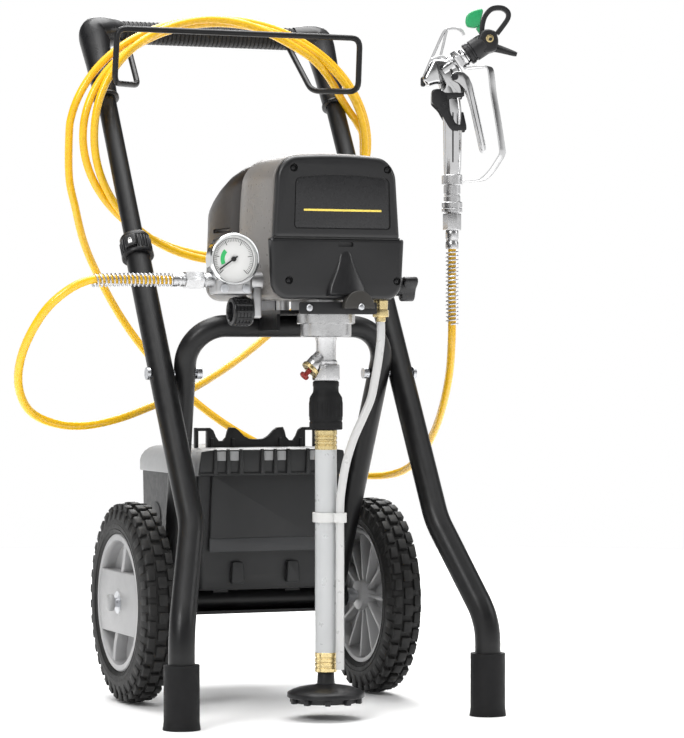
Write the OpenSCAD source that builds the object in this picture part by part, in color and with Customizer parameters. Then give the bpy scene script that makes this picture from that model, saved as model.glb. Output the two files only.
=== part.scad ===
// Airless paint sprayer: piston pump on a two-wheeled tubular cart, with toolbox, hose and gun.
// Machine frame: X to the operator's right, Y towards the rear, Z up, floor at Z = 0.

/* [Frame] */
// Outside diameter of the two bent leg tubes
leg_d = 32; // [30:1:34]
// Outside diameter of the inverted U tube
u_d = 28; // [26:1:28]
// Half distance between the feet
foot_x = 201; // [195:1:210]
// How far the feet stand in front of the cart's middle
foot_y = 150; // [140:1:160]
// Height of the U tube's crossbar
crossbar_z = 486; // [480:1:490]

/* [Handle] */
// Outside diameter of the telescoping tubes
handle_d = 25; // [24:0.5:26]
// Height of the grip's middle
grip_z = 887; // [870:1:900]
// Diameter of the ribbed grip
grip_d = 31; // [28:1:34]
// Diameter of the hose hanger's wire
wire_d = 8; // [6:0.5:9]

/* [Wheels] */
// Outside diameter of the tyres
wheel_d = 260; // [240:5:260]
// Width of each tyre
tyre_w = 46; // [40:1:48]
// Half distance between the wheels' middles
wheel_x = 167; // [166:1:172]

/* [Housing] */
// Width of the motor housing's middle shell
shell_w = 170; // [160:1:176]
// Height of the motor housing
shell_h = 178; // [170:1:184]
// Thickness of the plastic shells
wall = 3; // [2:0.5:4]

/* [Pump] */
// Diameter of the silver union nut
union_d = 72; // [68:1:76]
// Diameter of the clear suction hose
suction_d = 27; // [24:1:29]
// Diameter of the strainer foot
strainer_d = 96; // [90:1:100]

/* [Toolbox] */
// Width of the toolbox
box_w = 198; // [190:1:200]
// Depth of the toolbox
box_depth = 242; // [230:1:246]

/* [Hose and gun] */
// Diameter of the high-pressure hose
hose_d = 10.5; // [9:0.5:11]
// Turn of the gun about its hose, in degrees
gun_turn = -21; // [-30:1:0]

/* [Hidden] */
$fn = 48;
gap = 0.05;
// the part's origin: middle of its footprint without the hose
origin_x = 40.95;
origin_y = 94.62;

axle_y = 150;
axle_z = wheel_d / 2;
axle_r = 6;
axle_tube_r = 14;
leg_r = leg_d / 2;
leg_wall = 2;
handle_r = handle_d / 2;
u_r = u_d / 2;

// the slanted run that the legs and the handle share
lean_x = 163.3;
lean_low = [lean_x, -77, 241];
lean_slope = 0.6445;
lean_dir = [0, lean_slope, 1] / norm([0, lean_slope, 1]);
lean_angle = atan(lean_slope);
collar_z = 574;
grip_y = lean_low[1] + (grip_z - lean_low[2]) * lean_slope;
insert_len = 120;

crossbar_y = 20;
u_top_x = 136.5;
u_foot_x = 113;
bolt_z = 426;
bolt_y = lean_low[1] + (bolt_z - lean_low[2]) * lean_slope;

pump_y = -110;
front_y = -146;
mid_y = -40;
rear_y = 98;
shell_z = 517;
seam_z = 592;
shell_top = shell_z + shell_h;
gear_z = 625;
gear_module = 1.6;
gear_teeth = 48;
pinion_teeth = 12;
motor_z = gear_z - gear_module * (gear_teeth + pinion_teeth) / 2;

outlet_z = 540;
prime_z = 502;
gauge_at = [-133, -123, 565];
selector_x = -125;

box_front = 83;
box_floor = 146;
box_rim = 303;
lid_top = 329;
hinge_y = box_front + box_depth + 7;
hinge_z = box_rim - 4;

gun_at = [231, 30, 588];
barrel_pitch = 34;
trigger_pivot = [3, 811];
lock_pivot = [-11, 774];

function lean_at(z, side) = [side * lean_x, lean_low[1] + (z - lean_low[2]) * lean_slope, z];
function unit(v) = v / norm(v);
function turn_at(p, i) = acos(unit(p[i] - p[i - 1]) * unit(p[i + 1] - p[i]));
// bends are a hair thinner than the runs, which reach a little way into them
bend_step = 0.02;
function lap(br) = 0.9 * sqrt(bend_step * br);
function cut_at(p, br, i) = (i <= 0 || i >= len(p) - 1) ? 0 : br[i] * tan(turn_at(p, i) / 2);

// ---- general shapes ----

module place() {
    translate([-origin_x, -origin_y, 0]) children();
}

module aim(d) {
    rotate([0, acos(d[2] / norm(d)), atan2(d[1], d[0])]) children();
}

module rod(a, b, r) {
    translate(a) aim(b - a) cylinder(h = norm(b - a), r = r);
}

module elbow(a, b, c, br, r) {
    u = unit(b - a);
    v = unit(c - b);
    angle = acos(u * v);
    w = unit(v - (v * u) * u);
    start = b - u * br * tan(angle / 2);
    m = start + w * br;
    n = cross(-w, u);
    multmatrix([
        [-w[0], u[0], n[0], m[0]],
        [-w[1], u[1], n[1], m[1]],
        [-w[2], u[2], n[2], m[2]],
        [0, 0, 0, 1]])
        rotate_extrude(angle = angle) translate([br, 0]) circle(r = r);
}

// a round bar along straight runs with bends between them
module bent_rod(p, br, r) {
    for (i = [0 : len(p) - 2]) {
        d = unit(p[i + 1] - p[i]);
        rod(p[i] + d * (cut_at(p, br, i) - lap(br[i])),
            p[i + 1] - d * (cut_at(p, br, i + 1) - lap(br[i + 1])), r);
    }
    for (i = [1 : len(p) - 2]) elbow(p[i - 1], p[i], p[i + 1], br[i], r - bend_step);
}

module ring(h, ro, ri) {
    difference() {
        cylinder(h = h, r = ro);
        translate([0, 0, -1]) cylinder(h = h + 2, r = ri);
    }
}

module block(lo, hi) {
    translate(lo) cube(hi - lo);
}

// a box with rounded upright edges
module round_block(lo, hi, r) {
    hull()
        for (x = [lo[0] + r, hi[0] - r], y = [lo[1] + r, hi[1] - r])
            translate([x, y, lo[2]]) cylinder(h = hi[2] - lo[2], r = r, $fn = 32);
}

// a plate in the XZ plane from an outline, y0 to y1
module plate_xz(outline, y0, y1) {
    translate([0, y1, 0]) rotate([90, 0, 0]) linear_extrude(y1 - y0) polygon(outline);
}

module bar_x(x0, x1, y, z, r) {
    translate([x0, y, z]) rotate([0, 90, 0]) cylinder(h = x1 - x0, r = r);
}

module bar_y(y0, y1, x, z, r) {
    translate([x, y0, z]) rotate([-90, 0, 0]) cylinder(h = y1 - y0, r = r);
}

module both_sides() {
    children();
    mirror([1, 0, 0]) children();
}

// a tube solid swept along a route, with rings square to it
function tangent(p, i) = unit(p[min(i + 1, len(p) - 1)] - p[max(i - 1, 0)]);
function side_of(t) = abs(t[2]) > 0.95 ? unit(cross(t, [0, 1, 0])) : unit(cross(t, [0, 0, 1]));
// carries the ring's first direction along, so the rings don't twist
function carried(p, i, prev) =
    let (t = tangent(p, i), s = prev - (prev * t) * t) s / norm(s);
function frames(p, i = 0, prev = [0, 0, 0], out = []) =
    i >= len(p) ? out :
    let (s = i == 0 ? side_of(tangent(p, 0)) : carried(p, i, prev))
    frames(p, i + 1, s, concat(out, [s]));
// Catmull-Rom points between the route's own points
function spline_point(p, i, t) =
    let (a = p[max(i - 1, 0)], b = p[i], c = p[i + 1], d = p[min(i + 2, len(p) - 1)])
    0.5 * (2 * b + (c - a) * t + (2 * a - 5 * b + 4 * c - d) * t * t
        + (3 * b - a - 3 * c + d) * t * t * t);
function smooth(p, n) = concat(
    [for (i = [0 : len(p) - 2], k = [0 : n - 1]) spline_point(p, i, k / n)],
    [p[len(p) - 1]]);

module swept(p, r, sides = 8) {
    s = frames(p);
    points = [for (i = [0 : len(p) - 1], k = [0 : sides - 1])
        let (t = tangent(p, i), u = s[i], v = cross(t, u), a = 360 * k / sides)
        p[i] + r * (cos(a) * u + sin(a) * v)];
    rings = len(p);
    walls = [for (i = [0 : rings - 2], k = [0 : sides - 1])
        let (k2 = (k + 1) % sides)
        [i * sides + k, (i + 1) * sides + k, (i + 1) * sides + k2, i * sides + k2]];
    first = [for (k = [0 : sides - 1]) k];
    last = [for (k = [sides - 1 : -1 : 0]) (rings - 1) * sides + k];
    polyhedron(points, concat(walls, [first, last]), convexity = 10);
}

// ---- cart ----

module leg_tube(side) {
    p = [[side * foot_x, -foot_y, 4], [side * foot_x, -foot_y, 118],
        [side * lean_x, lean_low[1], lean_low[2]], lean_at(collar_z, side)];
    color("#1b1b1d") difference() {
        bent_rod(p, [0, 90, 110, 0], leg_r);
        rod([side * foot_x, -foot_y, 0], [side * foot_x, -foot_y, 96], leg_r - leg_wall);
        // the bore that the handle slides in
        rod(lean_at(262, side), lean_at(collar_z + 5, side), leg_r - leg_wall);
        bar_x(side * 170 - 40, side * 170 + 40, bolt_y, bolt_z, 4 + gap);
    }
}

module leg_tube_left() { leg_tube(-1); }
module leg_tube_right() { leg_tube(1); }

module foot_caps() {
    color("#202022") both_sides() translate([foot_x, -foot_y, 0]) difference() {
        union() {
            cylinder(h = 10, r1 = 23, r2 = 21.7);
            translate([0, 0, 10]) cylinder(h = 68, r = 21.7);
        }
        translate([0, 0, 4]) cylinder(h = 80, r = leg_r);
    }
}

module u_frame() {
    p = [[-u_foot_x, axle_y, axle_z + 12], [-u_top_x, crossbar_y, crossbar_z],
        [u_top_x, crossbar_y, crossbar_z], [u_foot_x, axle_y, axle_z + 12]];
    color("#1b1b1d") difference() {
        bent_rod(p, [0, 48, 48, 0], u_r);
        bent_rod(p, [0, 48, 48, 0], u_r - 2);
        bar_x(-160, 160, bolt_y, bolt_z, 4 + gap);
        bar_x(-160, 160, axle_y, axle_z, axle_tube_r);
    }
}

module axle_tube() {
    color("#1b1b1d") difference() {
        union() {
            bar_x(-128, 128, axle_y, axle_z, axle_tube_r);
            block([-u_foot_x, axle_y - 26, axle_z - 17], [u_foot_x, axle_y + 20, axle_z - 13]);
            // two saddles that carry the toolbox
            both_sides() block([40, axle_y - 10, axle_z + 8], [60, axle_y + 10, box_floor - 0.1]);
        }
        bar_x(-108, 108, axle_y, axle_z, 10);
        // plain bearings at both ends
        bar_x(-130, 130, axle_y, axle_z, axle_r);
    }
}

module axle() {
    color("#b9bcc0") {
        bar_x(-198, 198, axle_y, axle_z, axle_r);
        both_sides() bar_x(131, 140, axle_y, axle_z, 10);
    }
}

module wheel_caps() {
    color("#2a2a2c") both_sides() translate([194, axle_y, axle_z]) rotate([0, 90, 0])
        difference() {
            cylinder(h = 8, r = 11);
            translate([0, 0, -1]) cylinder(h = 5, r = axle_r);
        }
}

module frame_bolts() {
    color("#c9ccd0") both_sides() {
        bar_x(112, lean_x - leg_r + leg_wall - 0.2, bolt_y, bolt_z, 4);
        bar_x(110.5, 117.5, bolt_y, bolt_z, 7);
        // a cap in the leg's outer wall
        bar_x(lean_x + leg_r - leg_wall + 0.2, lean_x + leg_r + 3, bolt_y, bolt_z, 4);
        bar_x(lean_x + leg_r + 0.1, lean_x + leg_r + 4, bolt_y, bolt_z, 8);
    }
}

module mount_bracket() {
    color("#1b1b1d") {
        block([-46, -72, crossbar_z + u_r + 0.2], [46, 60, crossbar_z + u_r + 5]);
        both_sides() block([42, -60, crossbar_z - 6], [46, 4, crossbar_z + u_r + 1]);
    }
}

module tube_bushes() {
    color("#303236") for (side = [-1, 1])
        translate(lean_at(collar_z - 42, side)) aim(lean_dir) ring(36, leg_r - leg_wall, handle_r + gap);
}

module locking_collar(side) {
    color("#19191b") translate(lean_at(collar_z + 0.4, side)) aim(lean_dir) difference() {
        union() {
            cylinder(h = 5, r = 21);
            translate([0, 0, 5]) cylinder(h = 24, r = 19.5);
            translate([0, 0, 29]) cylinder(h = 5, r1 = 19.5, r2 = 16);
            for (a = [0 : 18 : 342]) rotate([0, 0, a]) translate([18.5, -1.2, 6]) cube([2.4, 2.4, 20]);
            rotate([0, 0, -125]) translate([18, -8, 7]) cube([7, 16, 17]);
        }
        translate([0, 0, -1]) cylinder(h = 40, r = handle_r + gap);
    }
}

module collar_left() { locking_collar(-1); }
module collar_right() { locking_collar(1); }

// ---- handle ----

module handle_tubes() {
    color("#1b1b1d") for (side = [-1, 1])
        difference() {
            rod(lean_at(collar_z - insert_len * lean_dir[2], side), lean_at(800, side), handle_r);
            rod(lean_at(collar_z - insert_len * lean_dir[2] - 2, side), lean_at(802, side),
                handle_r - 1.5);
        }
}

module handle_corners() {
    low = lean_at(792, 1);
    knee = lean_at(grip_z, 1);
    color("#202022") both_sides() difference() {
        union() {
            translate(low) aim(lean_dir) cylinder(h = norm(knee - low) - 26, r1 = 16, r2 = 19);
            hull() {
                translate(knee - 26 * lean_dir) sphere(r = 20, $fn = 32);
                translate(knee + [-3, 0, -2]) sphere(r = 23, $fn = 32);
                translate(knee + [-34, 0, 0]) rotate([0, -90, 0]) cylinder(h = 4, r = 17, $fn = 32);
            }
        }
        rod(lean_at(790, 1), lean_at(800, 1), handle_r);
    }
}

module hand_grip() {
    color("#18181a") {
        bar_x(-125, 125, grip_y, grip_z, grip_d / 2 - 1.5);
        for (x = [-120 : 8 : 118])
            bar_x(x, x + 4, grip_y, grip_z, grip_d / 2);
    }
}

function hanger_half() = [[117, grip_y - 4, grip_z - 10], [124, 262, 809], [172, 212, 806],
    [171, 203, 877]];

module hose_hanger() {
    half = hanger_half();
    flip = [for (i = [3 : -1 : 0]) [-half[i][0], half[i][1], half[i][2]]];
    color("#232325") bent_rod(concat(half, flip), [0, 10, 10, 10, 10, 10, 10, 0], wire_d / 2);
}

// ---- wheels ----

module at_wheel(side) {
    translate([side * wheel_x, axle_y, axle_z]) rotate([0, side * 90, 0]) children();
}

module tyre(side) {
    h = tyre_w / 2;
    r = wheel_d / 2;
    color("#222224") at_wheel(side) rotate_extrude($fn = 96)
        polygon([[89, -h + 4], [100, -h], [120, -h + 2], [r - 1, -h + 10], [r, 0],
            [r - 1, h - 10], [120, h - 2], [100, h], [89, h - 4]]);
}

module tyre_left() { tyre(-1); }
module tyre_right() { tyre(1); }

module rim(side) {
    h = tyre_w / 2;
    color("#b5b7b9") at_wheel(side) {
        difference() {
            union() {
                translate([0, 0, -h + 4]) ring(2 * h - 8, 89, 83);
                translate([0, 0, -2]) cylinder(h = 6, r = 84);
                translate([0, 0, -h + 1]) cylinder(h = 2 * h - 2, r = 20);
                for (a = [0 : 30 : 330]) rotate([0, 0, a])
                    translate([18, -2.5, -h + 5]) cube([66, 5, h]);
                for (a = [45 : 90 : 315]) rotate([0, 0, a])
                    translate([18, -4, 2]) cube([66, 8, h - 7]);
            }
            translate([0, 0, -h - 2]) cylinder(h = 2 * h + 4, r = axle_r + gap);
        }
    }
}

module rim_left() { rim(-1); }
module rim_right() { rim(1); }

// ---- motor housing ----

// one rounded slice of the housing, wide half-width w, from z0 to z1
module slice(y, w, z0, z1, r, t = 0.02) {
    translate([0, y, 0]) rotate([90, 0, 0]) linear_extrude(t) hull()
        for (x = [-w + r, w - r], z = [z0 + r, z1 - r]) translate([x, z]) circle(r = r, $fn = 32);
}

module housing_part(y0, w0, top0, y1, w1, top1, z0, inset) {
    hull() {
        slice(y0, w0 - inset, z0 + inset, top0 - inset, 16 - inset / 2);
        slice(y1, w1 - inset, z0 + inset, top1 - inset, 16 - inset / 2);
    }
}

module motor_shell() {
    w = shell_w / 2;
    color("#6d6962") difference() {
        slice(mid_y - 0.2, w, shell_z, shell_top, 16, mid_y - 0.2 - (front_y + 6));
        slice(mid_y + 2, w - wall, shell_z + wall, shell_top - wall, 16 - wall, mid_y + 2 - front_y);
        translate([0, pump_y, shell_z - 3]) cylinder(h = 10, r = 40);
        bar_x(-w - 5, -w + 10, pump_y, outlet_z, 13);
        bar_x(w - 10, w + 5, pump_y + 10, 535, 10);
        block([-50, -91, shell_z - 3], [50, mid_y - 4, shell_z + 5]);
    }
}

module rear_cap() {
    w = shell_w / 2;
    color("#2b2623") difference() {
        housing_part(mid_y + 0.1, w + 1, shell_top - 1, rear_y, w + 5, shell_top - 40, shell_z + 1, 0);
        housing_part(mid_y - 2, w + 1, shell_top - 1, rear_y - wall, w + 5, shell_top - 40,
            shell_z + 1, wall);
        bar_y(rear_y - 6, rear_y + 2, 42, 560, 9 + gap);
        block([-61, rear_y - 6, 548], [-39, rear_y + 2, 578]);
        block([-50, mid_y - 4, shell_z - 3], [50, 65, shell_z + 5]);
    }
    // the frame that holds the rocker switch
    color("#1d1d1f") difference() {
        block([-61 + gap, rear_y - 12, 548 + gap], [-39 - gap, rear_y + 1.5, 578 - gap]);
        block([-57, rear_y - 8, 552], [-43, rear_y + 3, 574]);
        bar_x(-59, -41, rear_y - 2, 563, 1.2 + gap);
    }
}

module front_cover() {
    color("#2e2f31") difference() {
        hull() {
            slice(front_y + 5.8, 83, seam_z, shell_top, 15);
            slice(front_y - 4, 79, seam_z, shell_top - 3, 13);
        }
        housing_part(front_y + 0.5, 80, shell_top, front_y + 8, 80,
            shell_top, seam_z - 20, wall + 0.5);
        block([-52, front_y - 10, 612], [64, front_y - 2.6, 672]);
        for (x = [-57, 69]) bar_y(front_y - 10, front_y - 2.5, x, 675 - 1, 3.6);
    }
}

module lower_cover() {
    color("#26272a") difference() {
        union() {
            hull() {
                slice(front_y + 5.8, 88, shell_z, seam_z - 0.2, 10);
                slice(front_y - 3, 85, shell_z + 1, seam_z - 0.2, 9);
            }
            hull() {
                translate([11, front_y, 578]) rotate([90, 0, 0]) cylinder(h = 6, r = 9, $fn = 32);
                translate([11, front_y, 531]) rotate([90, 0, 0]) cylinder(h = 10, r = 16, $fn = 32);
            }
        }
        housing_part(front_y + 0.5, 86, seam_z + 20, front_y + 8, 86, seam_z + 20, shell_z, wall);
        translate([0, pump_y, shell_z - 3]) cylinder(h = 10, r = 40);
        for (x = [-63, 81]) bar_y(front_y - 10, front_y - 1.5, x, 540, 3.6);
    }
}

module cover_screws() {
    color("#4a4b4e") {
        for (x = [-57, 69]) bar_y(front_y - 3.6, front_y - 2.5, x, 674, 3.4);
        for (x = [-63, 81]) bar_y(front_y - 2.6, front_y - 1.5, x, 540, 3.4);
    }
}

module guard_plate() {
    color("#17171a") {
        plate_xz([[-50, 499], [52, 499], [52, 513.5], [-50, 513.5]], -150, -147.4);
        for (x = [-38, 32]) bar_y(-152.5, -150, x, 506, 4);
        difference() {
            bar_y(-162, -157, 25, 505, 20);
            block([0, -170, 480], [50, -140, 505]);
        }
        block([7, -157.1, 506], [43, -149.9, 510]);
    }
}

// ---- drive inside the housing ----

module gear_case() {
    color("#9a9da1") difference() {
        block([-58, -84, 530], [58, -44, 676]);
        block([-44, -87, 543], [44, -66, 672]);
        bar_y(-90, -40, 0, gear_z, 7 + gap);
        bar_y(-90, -40, 0, motor_z, 4 + gap);
    }
    color("#303236") both_sides()
        translate([40, -65, crossbar_z + u_r + 5.1]) cylinder(h = 24.8, r = 8);
}

module motor_stator() {
    color("#73767a") translate([0, -20, motor_z]) rotate([-90, 0, 0]) ring(80, 41, 29);
    color("#303236") both_sides()
        block([14, -10, crossbar_z + u_r + 5.1], [30, 50, motor_z - 39]);
}

module rotor() {
    color("#a9adb2") {
        bar_y(-76, 75, 0, motor_z, 4);
        bar_y(-18, 58, 0, motor_z, 28);
        for (a = [0 : 45 : 315])
            translate([0, 66, motor_z]) rotate([0, a, 0]) translate([3, -3, -1.5]) cube([34, 10, 3]);
        translate([0, -69, motor_z]) rotate([90, 180 / pinion_teeth, 0])
            spur(pinion_teeth, 8, 3.9);
    }
}

// a spur gear with its axis along Z and its first tooth towards +X
module spur(teeth, h, bore_r) {
    pr = gear_module * teeth / 2;
    pitch = 360 / teeth;
    tip = pr + 0.8 * gear_module;
    root = pr - 1.1 * gear_module;
    linear_extrude(h) difference() {
        polygon([for (i = [0 : teeth - 1], k = [0 : 3])
            let (a = i * pitch + [-0.29, -0.1, 0.1, 0.29][k] * pitch,
                r = (k == 0 || k == 3) ? root : tip)
            [r * cos(a), r * sin(a)]]);
        circle(r = bore_r);
    }
}

module drive_gear() {
    color("#8c8f94") {
        translate([0, -69, gear_z]) rotate([90, 0, 0]) spur(gear_teeth, 8, 6.9);
        bar_y(-79, -48, 0, gear_z, 7);
        bar_y(-97, -78, 0, gear_z - 12, 6);
    }
}

module piston_rod() {
    color("#c3c6ca") {
        translate([0, pump_y, 486]) cylinder(h = 85, r = 8);
        difference() {
            block([-26, -116, 570], [26, -104, 640]);
            block([-21, -120, 604], [21, -112, 622]);
        }
    }
}

// ---- pump ----

module pump_cylinder() {
    color("#b4b7bb") translate([0, pump_y, 501.2]) difference() {
        union() {
            cylinder(h = 34, r = 23);
            cylinder(h = 6, r = 32);
        }
        translate([0, 0, -1]) cylinder(h = 40, r = 8 + gap);
    }
}

module union_nut() {
    color("#c9cbce") translate([0, pump_y, 471]) difference() {
        cylinder(h = 30, r = union_d / 2 - 3);
        translate([0, 0, 4]) cylinder(h = 30, r = 24);
        translate([0, 0, -1]) cylinder(h = 10, r = 13);
        for (a = [0 : 45 : 315]) rotate([0, 0, a]) translate([28, -4, -1]) cube([9, 8, 20]);
    }
    color("#c9cbce") translate([0, pump_y, 486]) ring(15, union_d / 2, union_d / 2 - 3);
}

module inlet_body() {
    color("#c4c6c9") difference() {
        union() {
            translate([0, pump_y, 438.2]) cylinder(h = 32.6, r = 12);
            translate([0, pump_y, 438.2]) cylinder(h = 4, r = 14);
            translate([0, pump_y, 452]) rotate([0, -135, 0]) cylinder(h = 26, r = 10.5);
        }
        translate([0, pump_y, 430]) cylinder(h = 60, r = 5);
        translate([0, pump_y, 452]) rotate([0, -135, 0]) cylinder(h = 40, r = 3 + gap);
    }
    // the hexagon nut that holds the suction set
    color("#cfd1d4") translate([0, pump_y, 418]) difference() {
        cylinder(h = 20, r = 19.6, $fn = 6);
        translate([0, 0, -1]) cylinder(h = 24, r = 8);
        // room for the side port's ring and pusher
        translate([0, 0, 34]) rotate([0, -135, 0]) {
            cylinder(h = 40, r = 3 + gap);
            translate([0, 0, 26]) cylinder(h = 14, r = 12.2);
        }
    }
}

module inlet_pusher() {
    color("#7e2320") translate([0, pump_y, 452]) rotate([0, -135, 0]) {
        translate([0, 0, 12]) cylinder(h = 26, r = 3);
        translate([0, 0, 38]) cylinder(h = 5, r = 6);
    }
}

module suction_boot() {
    color("#19191b") translate([0, pump_y, 357.2]) difference() {
        union() {
            cylinder(h = 40, r = 20.5);
            translate([0, 0, 40]) cylinder(h = 6, r1 = 20.5, r2 = 16);
            translate([0, 0, 46]) cylinder(h = 14.6, r = 16);
        }
        translate([0, 0, -1]) cylinder(h = 70, r = 8);
    }
}

// the two crimps on the suction hose, the ring on the side port and the return fitting
module brass_fittings() {
    color("#b98c3e") {
        for (z = [332.2, 58.2]) translate([0, pump_y, z]) ring(24.8, 13.4, 8);
        translate([0, pump_y, 452]) rotate([0, -135, 0]) translate([0, 0, 26.1]) ring(5, 12, 4.5);
        translate([63, -135, 505]) cylinder(h = 11.8, r = 9);
        translate([63, -135, 496]) cylinder(h = 9.1, r = 11, $fn = 6);
        translate([63, -135, 490]) cylinder(h = 6.1, r = 6);
    }
}

module suction_hose() {
    color("#e8e8e6") translate([0, pump_y, 83.2]) ring(248.8, suction_d / 2, 10.5);
}

module strainer_disc() {
    color("#161618") translate([0, pump_y, 0]) difference() {
        union() {
            translate([0, 0, 27]) cylinder(h = 14, r = strainer_d / 2);
            translate([0, 0, 41]) cylinder(h = 17, r = 10);
            for (a = [0 : 30 : 330]) rotate([0, 0, a])
                translate([strainer_d / 2 - 9, -4, 20]) cube([8, 8, 8]);
        }
        translate([0, 0, 26]) cylinder(h = 5, r = strainer_d / 2 - 10);
        translate([0, 0, 19]) cylinder(h = 45, r = 7);
    }
}

// route of the return tube, from its fitting to the strainer
return_route = [[63, -135, 489.8], [63, -135, 470], [60, -135, 445], [55, -135, 418], [50, -134, 395],
    [40, -133, 372], [28, -131, 345], [19, -129, 315], [14, -127.5, 285], [12, -127, 260],
    [12, -127, 200], [12, -127, 130], [12, -127, 62]];

module return_tube() {
    color("#ececea") swept(smooth(return_route, 3), 5.2, 10);
}

module tube_clip() {
    color("#dcdcda") translate([0, 0, 243]) linear_extrude(12) difference() {
        union() {
            translate([0, pump_y]) circle(r = suction_d / 2 + 3);
            translate([12, -127]) circle(r = 8.2);
        }
        translate([0, pump_y]) circle(r = suction_d / 2 + 0.05);
        translate([12, -127]) circle(r = 5.4);
    }
}

module outlet_manifold() {
    color("#b7babd") difference() {
        union() {
            bar_x(-150, -24.5, pump_y, outlet_z, 11);
            round_block([-150, pump_y - 17, outlet_z - 19], [-100, pump_y + 17, outlet_z + 20], 4);
            bar_x(-160, -149, pump_y, outlet_z, 9);
            bar_y(gauge_at[1] - 4.3, pump_y, gauge_at[0], gauge_at[2], 9);
        }
        bar_x(-162, -60, pump_y, outlet_z, 4);
        bar_x(-151, selector_x + 26.2, pump_y, prime_z, 19.4);
    }
    // the stem that the selector knob turns on
    color("#b7babd") {
        block([selector_x + 27, -118, prime_z - 8], [-86.4, -102, outlet_z - 10]);
        bar_x(selector_x + 13, selector_x + 28, pump_y, prime_z, 5);
    }
}

module gauge_case() {
    color("#c9ccd0") translate(gauge_at) rotate([90, 0, 0]) {
        difference() {
            translate([0, 0, 4.4]) cylinder(h = 24, r = 31.5);
            translate([0, 0, 8]) cylinder(h = 30, r = 28.5);
        }
    }
    // the dial, with a bush for the pointer
    color("#f1f1ee") translate(gauge_at) rotate([90, 0, 0]) translate([0, 0, 8.2]) difference() {
        cylinder(h = 13, r = 28.3);
        translate([0, 0, 2]) cylinder(h = 20, r = 1.5 + gap);
    }
}

module gauge_pointer() {
    color("#1a1a1a") translate(gauge_at) rotate([90, 0, 0]) {
        translate([0, 0, 12]) cylinder(h = 11.5, r = 1.5);
        translate([0, 0, 21.5]) cylinder(h = 2, r = 3);
        rotate([0, 0, 215]) translate([-6, -0.8, 22]) cube([28, 1.6, 1]);
    }
}

module prime_knob() {
    color("#1a1a1c") {
        difference() {
            union() {
                bar_x(selector_x, selector_x + 26, pump_y, prime_z, 17);
                for (a = [0 : 45 : 315]) translate([selector_x + 3, pump_y, prime_z]) rotate([a, 0, 0])
                    translate([0, -2, 15]) cube([22, 4, 3.6]);
            }
            bar_x(selector_x - 1, selector_x + 7, pump_y, prime_z, 12);
            bar_x(selector_x + 12, selector_x + 35, pump_y, prime_z, 5 + gap);
        }
    }
}

module pressure_knob() {
    color("#1c1c1e") translate([96, pump_y + 10, 535]) rotate([0, 90, 0]) {
        translate([0, 0, -14]) cylinder(h = 15, r = 9);
        cylinder(h = 22, r = 12);
        for (a = [0 : 120 : 240]) rotate([0, 0, a]) translate([0, -4.5, 6]) cube([19, 9, 20]);
    }
    color("#1c1c1e") bar_x(70, 83, pump_y + 10, 535, 5);
}

module power_switch() {
    color("#a31515") {
        hull() {
            translate([-56, rear_y - 2, 563]) rotate([0, 90, 0]) cylinder(h = 12, r = 3);
            block([-56, rear_y + 2, 555], [-44, rear_y + 3, 560]);
            block([-56, rear_y + 4, 570], [-44, rear_y + 5, 572]);
        }
        bar_x(-58.8, -41.2, rear_y - 2, 563, 1.2);
    }
}

module cable_gland() {
    color("#19191b") difference() {
        union() {
            bar_y(rear_y - 8, rear_y, 42, 560, 9);
            bar_y(rear_y, rear_y + 4, 42, 560, 12);
            translate([42, rear_y + 4, 560]) rotate([-90, 0, 0]) cylinder(h = 16, r1 = 9, r2 = 7);
        }
        bar_y(rear_y - 9, rear_y + 30, 42, 560, 4);
    }
}

// ---- toolbox ----

module toolbox() {
    w = box_w / 2;
    back = box_front + box_depth;
    color("#26272a") {
        difference() {
            round_block([-w, box_front + 7, box_floor], [w, back, box_rim - 9.5], 6);
            round_block([-w + wall, box_front + 7 + wall, box_floor + wall], [w - wall, back - wall,
                box_rim + 2], 4);
        }
        plate_xz([[-w + 14, 193], [w - 14, 193], [w - 18, box_rim - 8], [-w + 18, box_rim - 8]],
            box_front, box_front + 7.1);
        for (x = [-46, 30]) hull() {
            translate([x, box_front + 8, 150]) rotate([90, 0, 0]) cylinder(h = 7, r = 8, $fn = 32);
            translate([x, box_front + 8, 168]) rotate([90, 0, 0]) cylinder(h = 5, r = 6, $fn = 32);
        }
        // hinge lugs with their pins
        both_sides() {
            for (x = [50, 78]) {
                block([x, back - 1, hinge_z - 14], [x + 8, hinge_y + 5, hinge_z]);
                bar_x(x, x + 8, hinge_y, hinge_z, 6);
            }
            bar_x(57, 79, hinge_y, hinge_z, 2.5);
        }
    }
}

module toolbox_lid() {
    w = box_w / 2 + 4;
    back = box_front + box_depth;
    color("#a9abad") difference() {
        hull() {
            round_block([-w, box_front - 4, box_rim - 9], [w, back + 4, box_rim + 8], 9);
            round_block([-w + 12, box_front + 2, lid_top - 2], [w - 12, back - 8, lid_top], 9);
        }
        hull() {
            round_block([-w + 3, box_front - 1, box_rim - 11], [w - 3, back + 1, box_rim + 7], 7);
            round_block([-w + 14, box_front + 4, lid_top - 5], [w - 14, back - 10, lid_top - 3], 7);
        }
        both_sides() block([49, back - 6, box_rim - 12], [87, back + 10, box_rim + 5]);
    }
    color("#a9abad") both_sides() difference() {
        union() {
            block([58.3, back - 6, box_rim + 2], [77.7, hinge_y, box_rim + 7]);
            bar_x(58.3, 77.7, hinge_y, hinge_z, 6);
            block([58.3, hinge_y - 3, hinge_z], [77.7, hinge_y + 3, box_rim + 6]);
        }
        bar_x(50, 90, hinge_y, hinge_z, 2.5 + gap);
    }
    color("#232426") {
        plate_xz([[-w + 1, box_rim], [w - 1, box_rim], [w - 6, lid_top - 2], [-w + 6, lid_top - 2]],
            box_front - 7, box_front - 4.1);
        for (x = [-84 : 24 : 84])
            block([x - 1.5, box_front - 11, box_rim], [x + 1.5, box_front - 6.9, lid_top]);
    }
}

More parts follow.
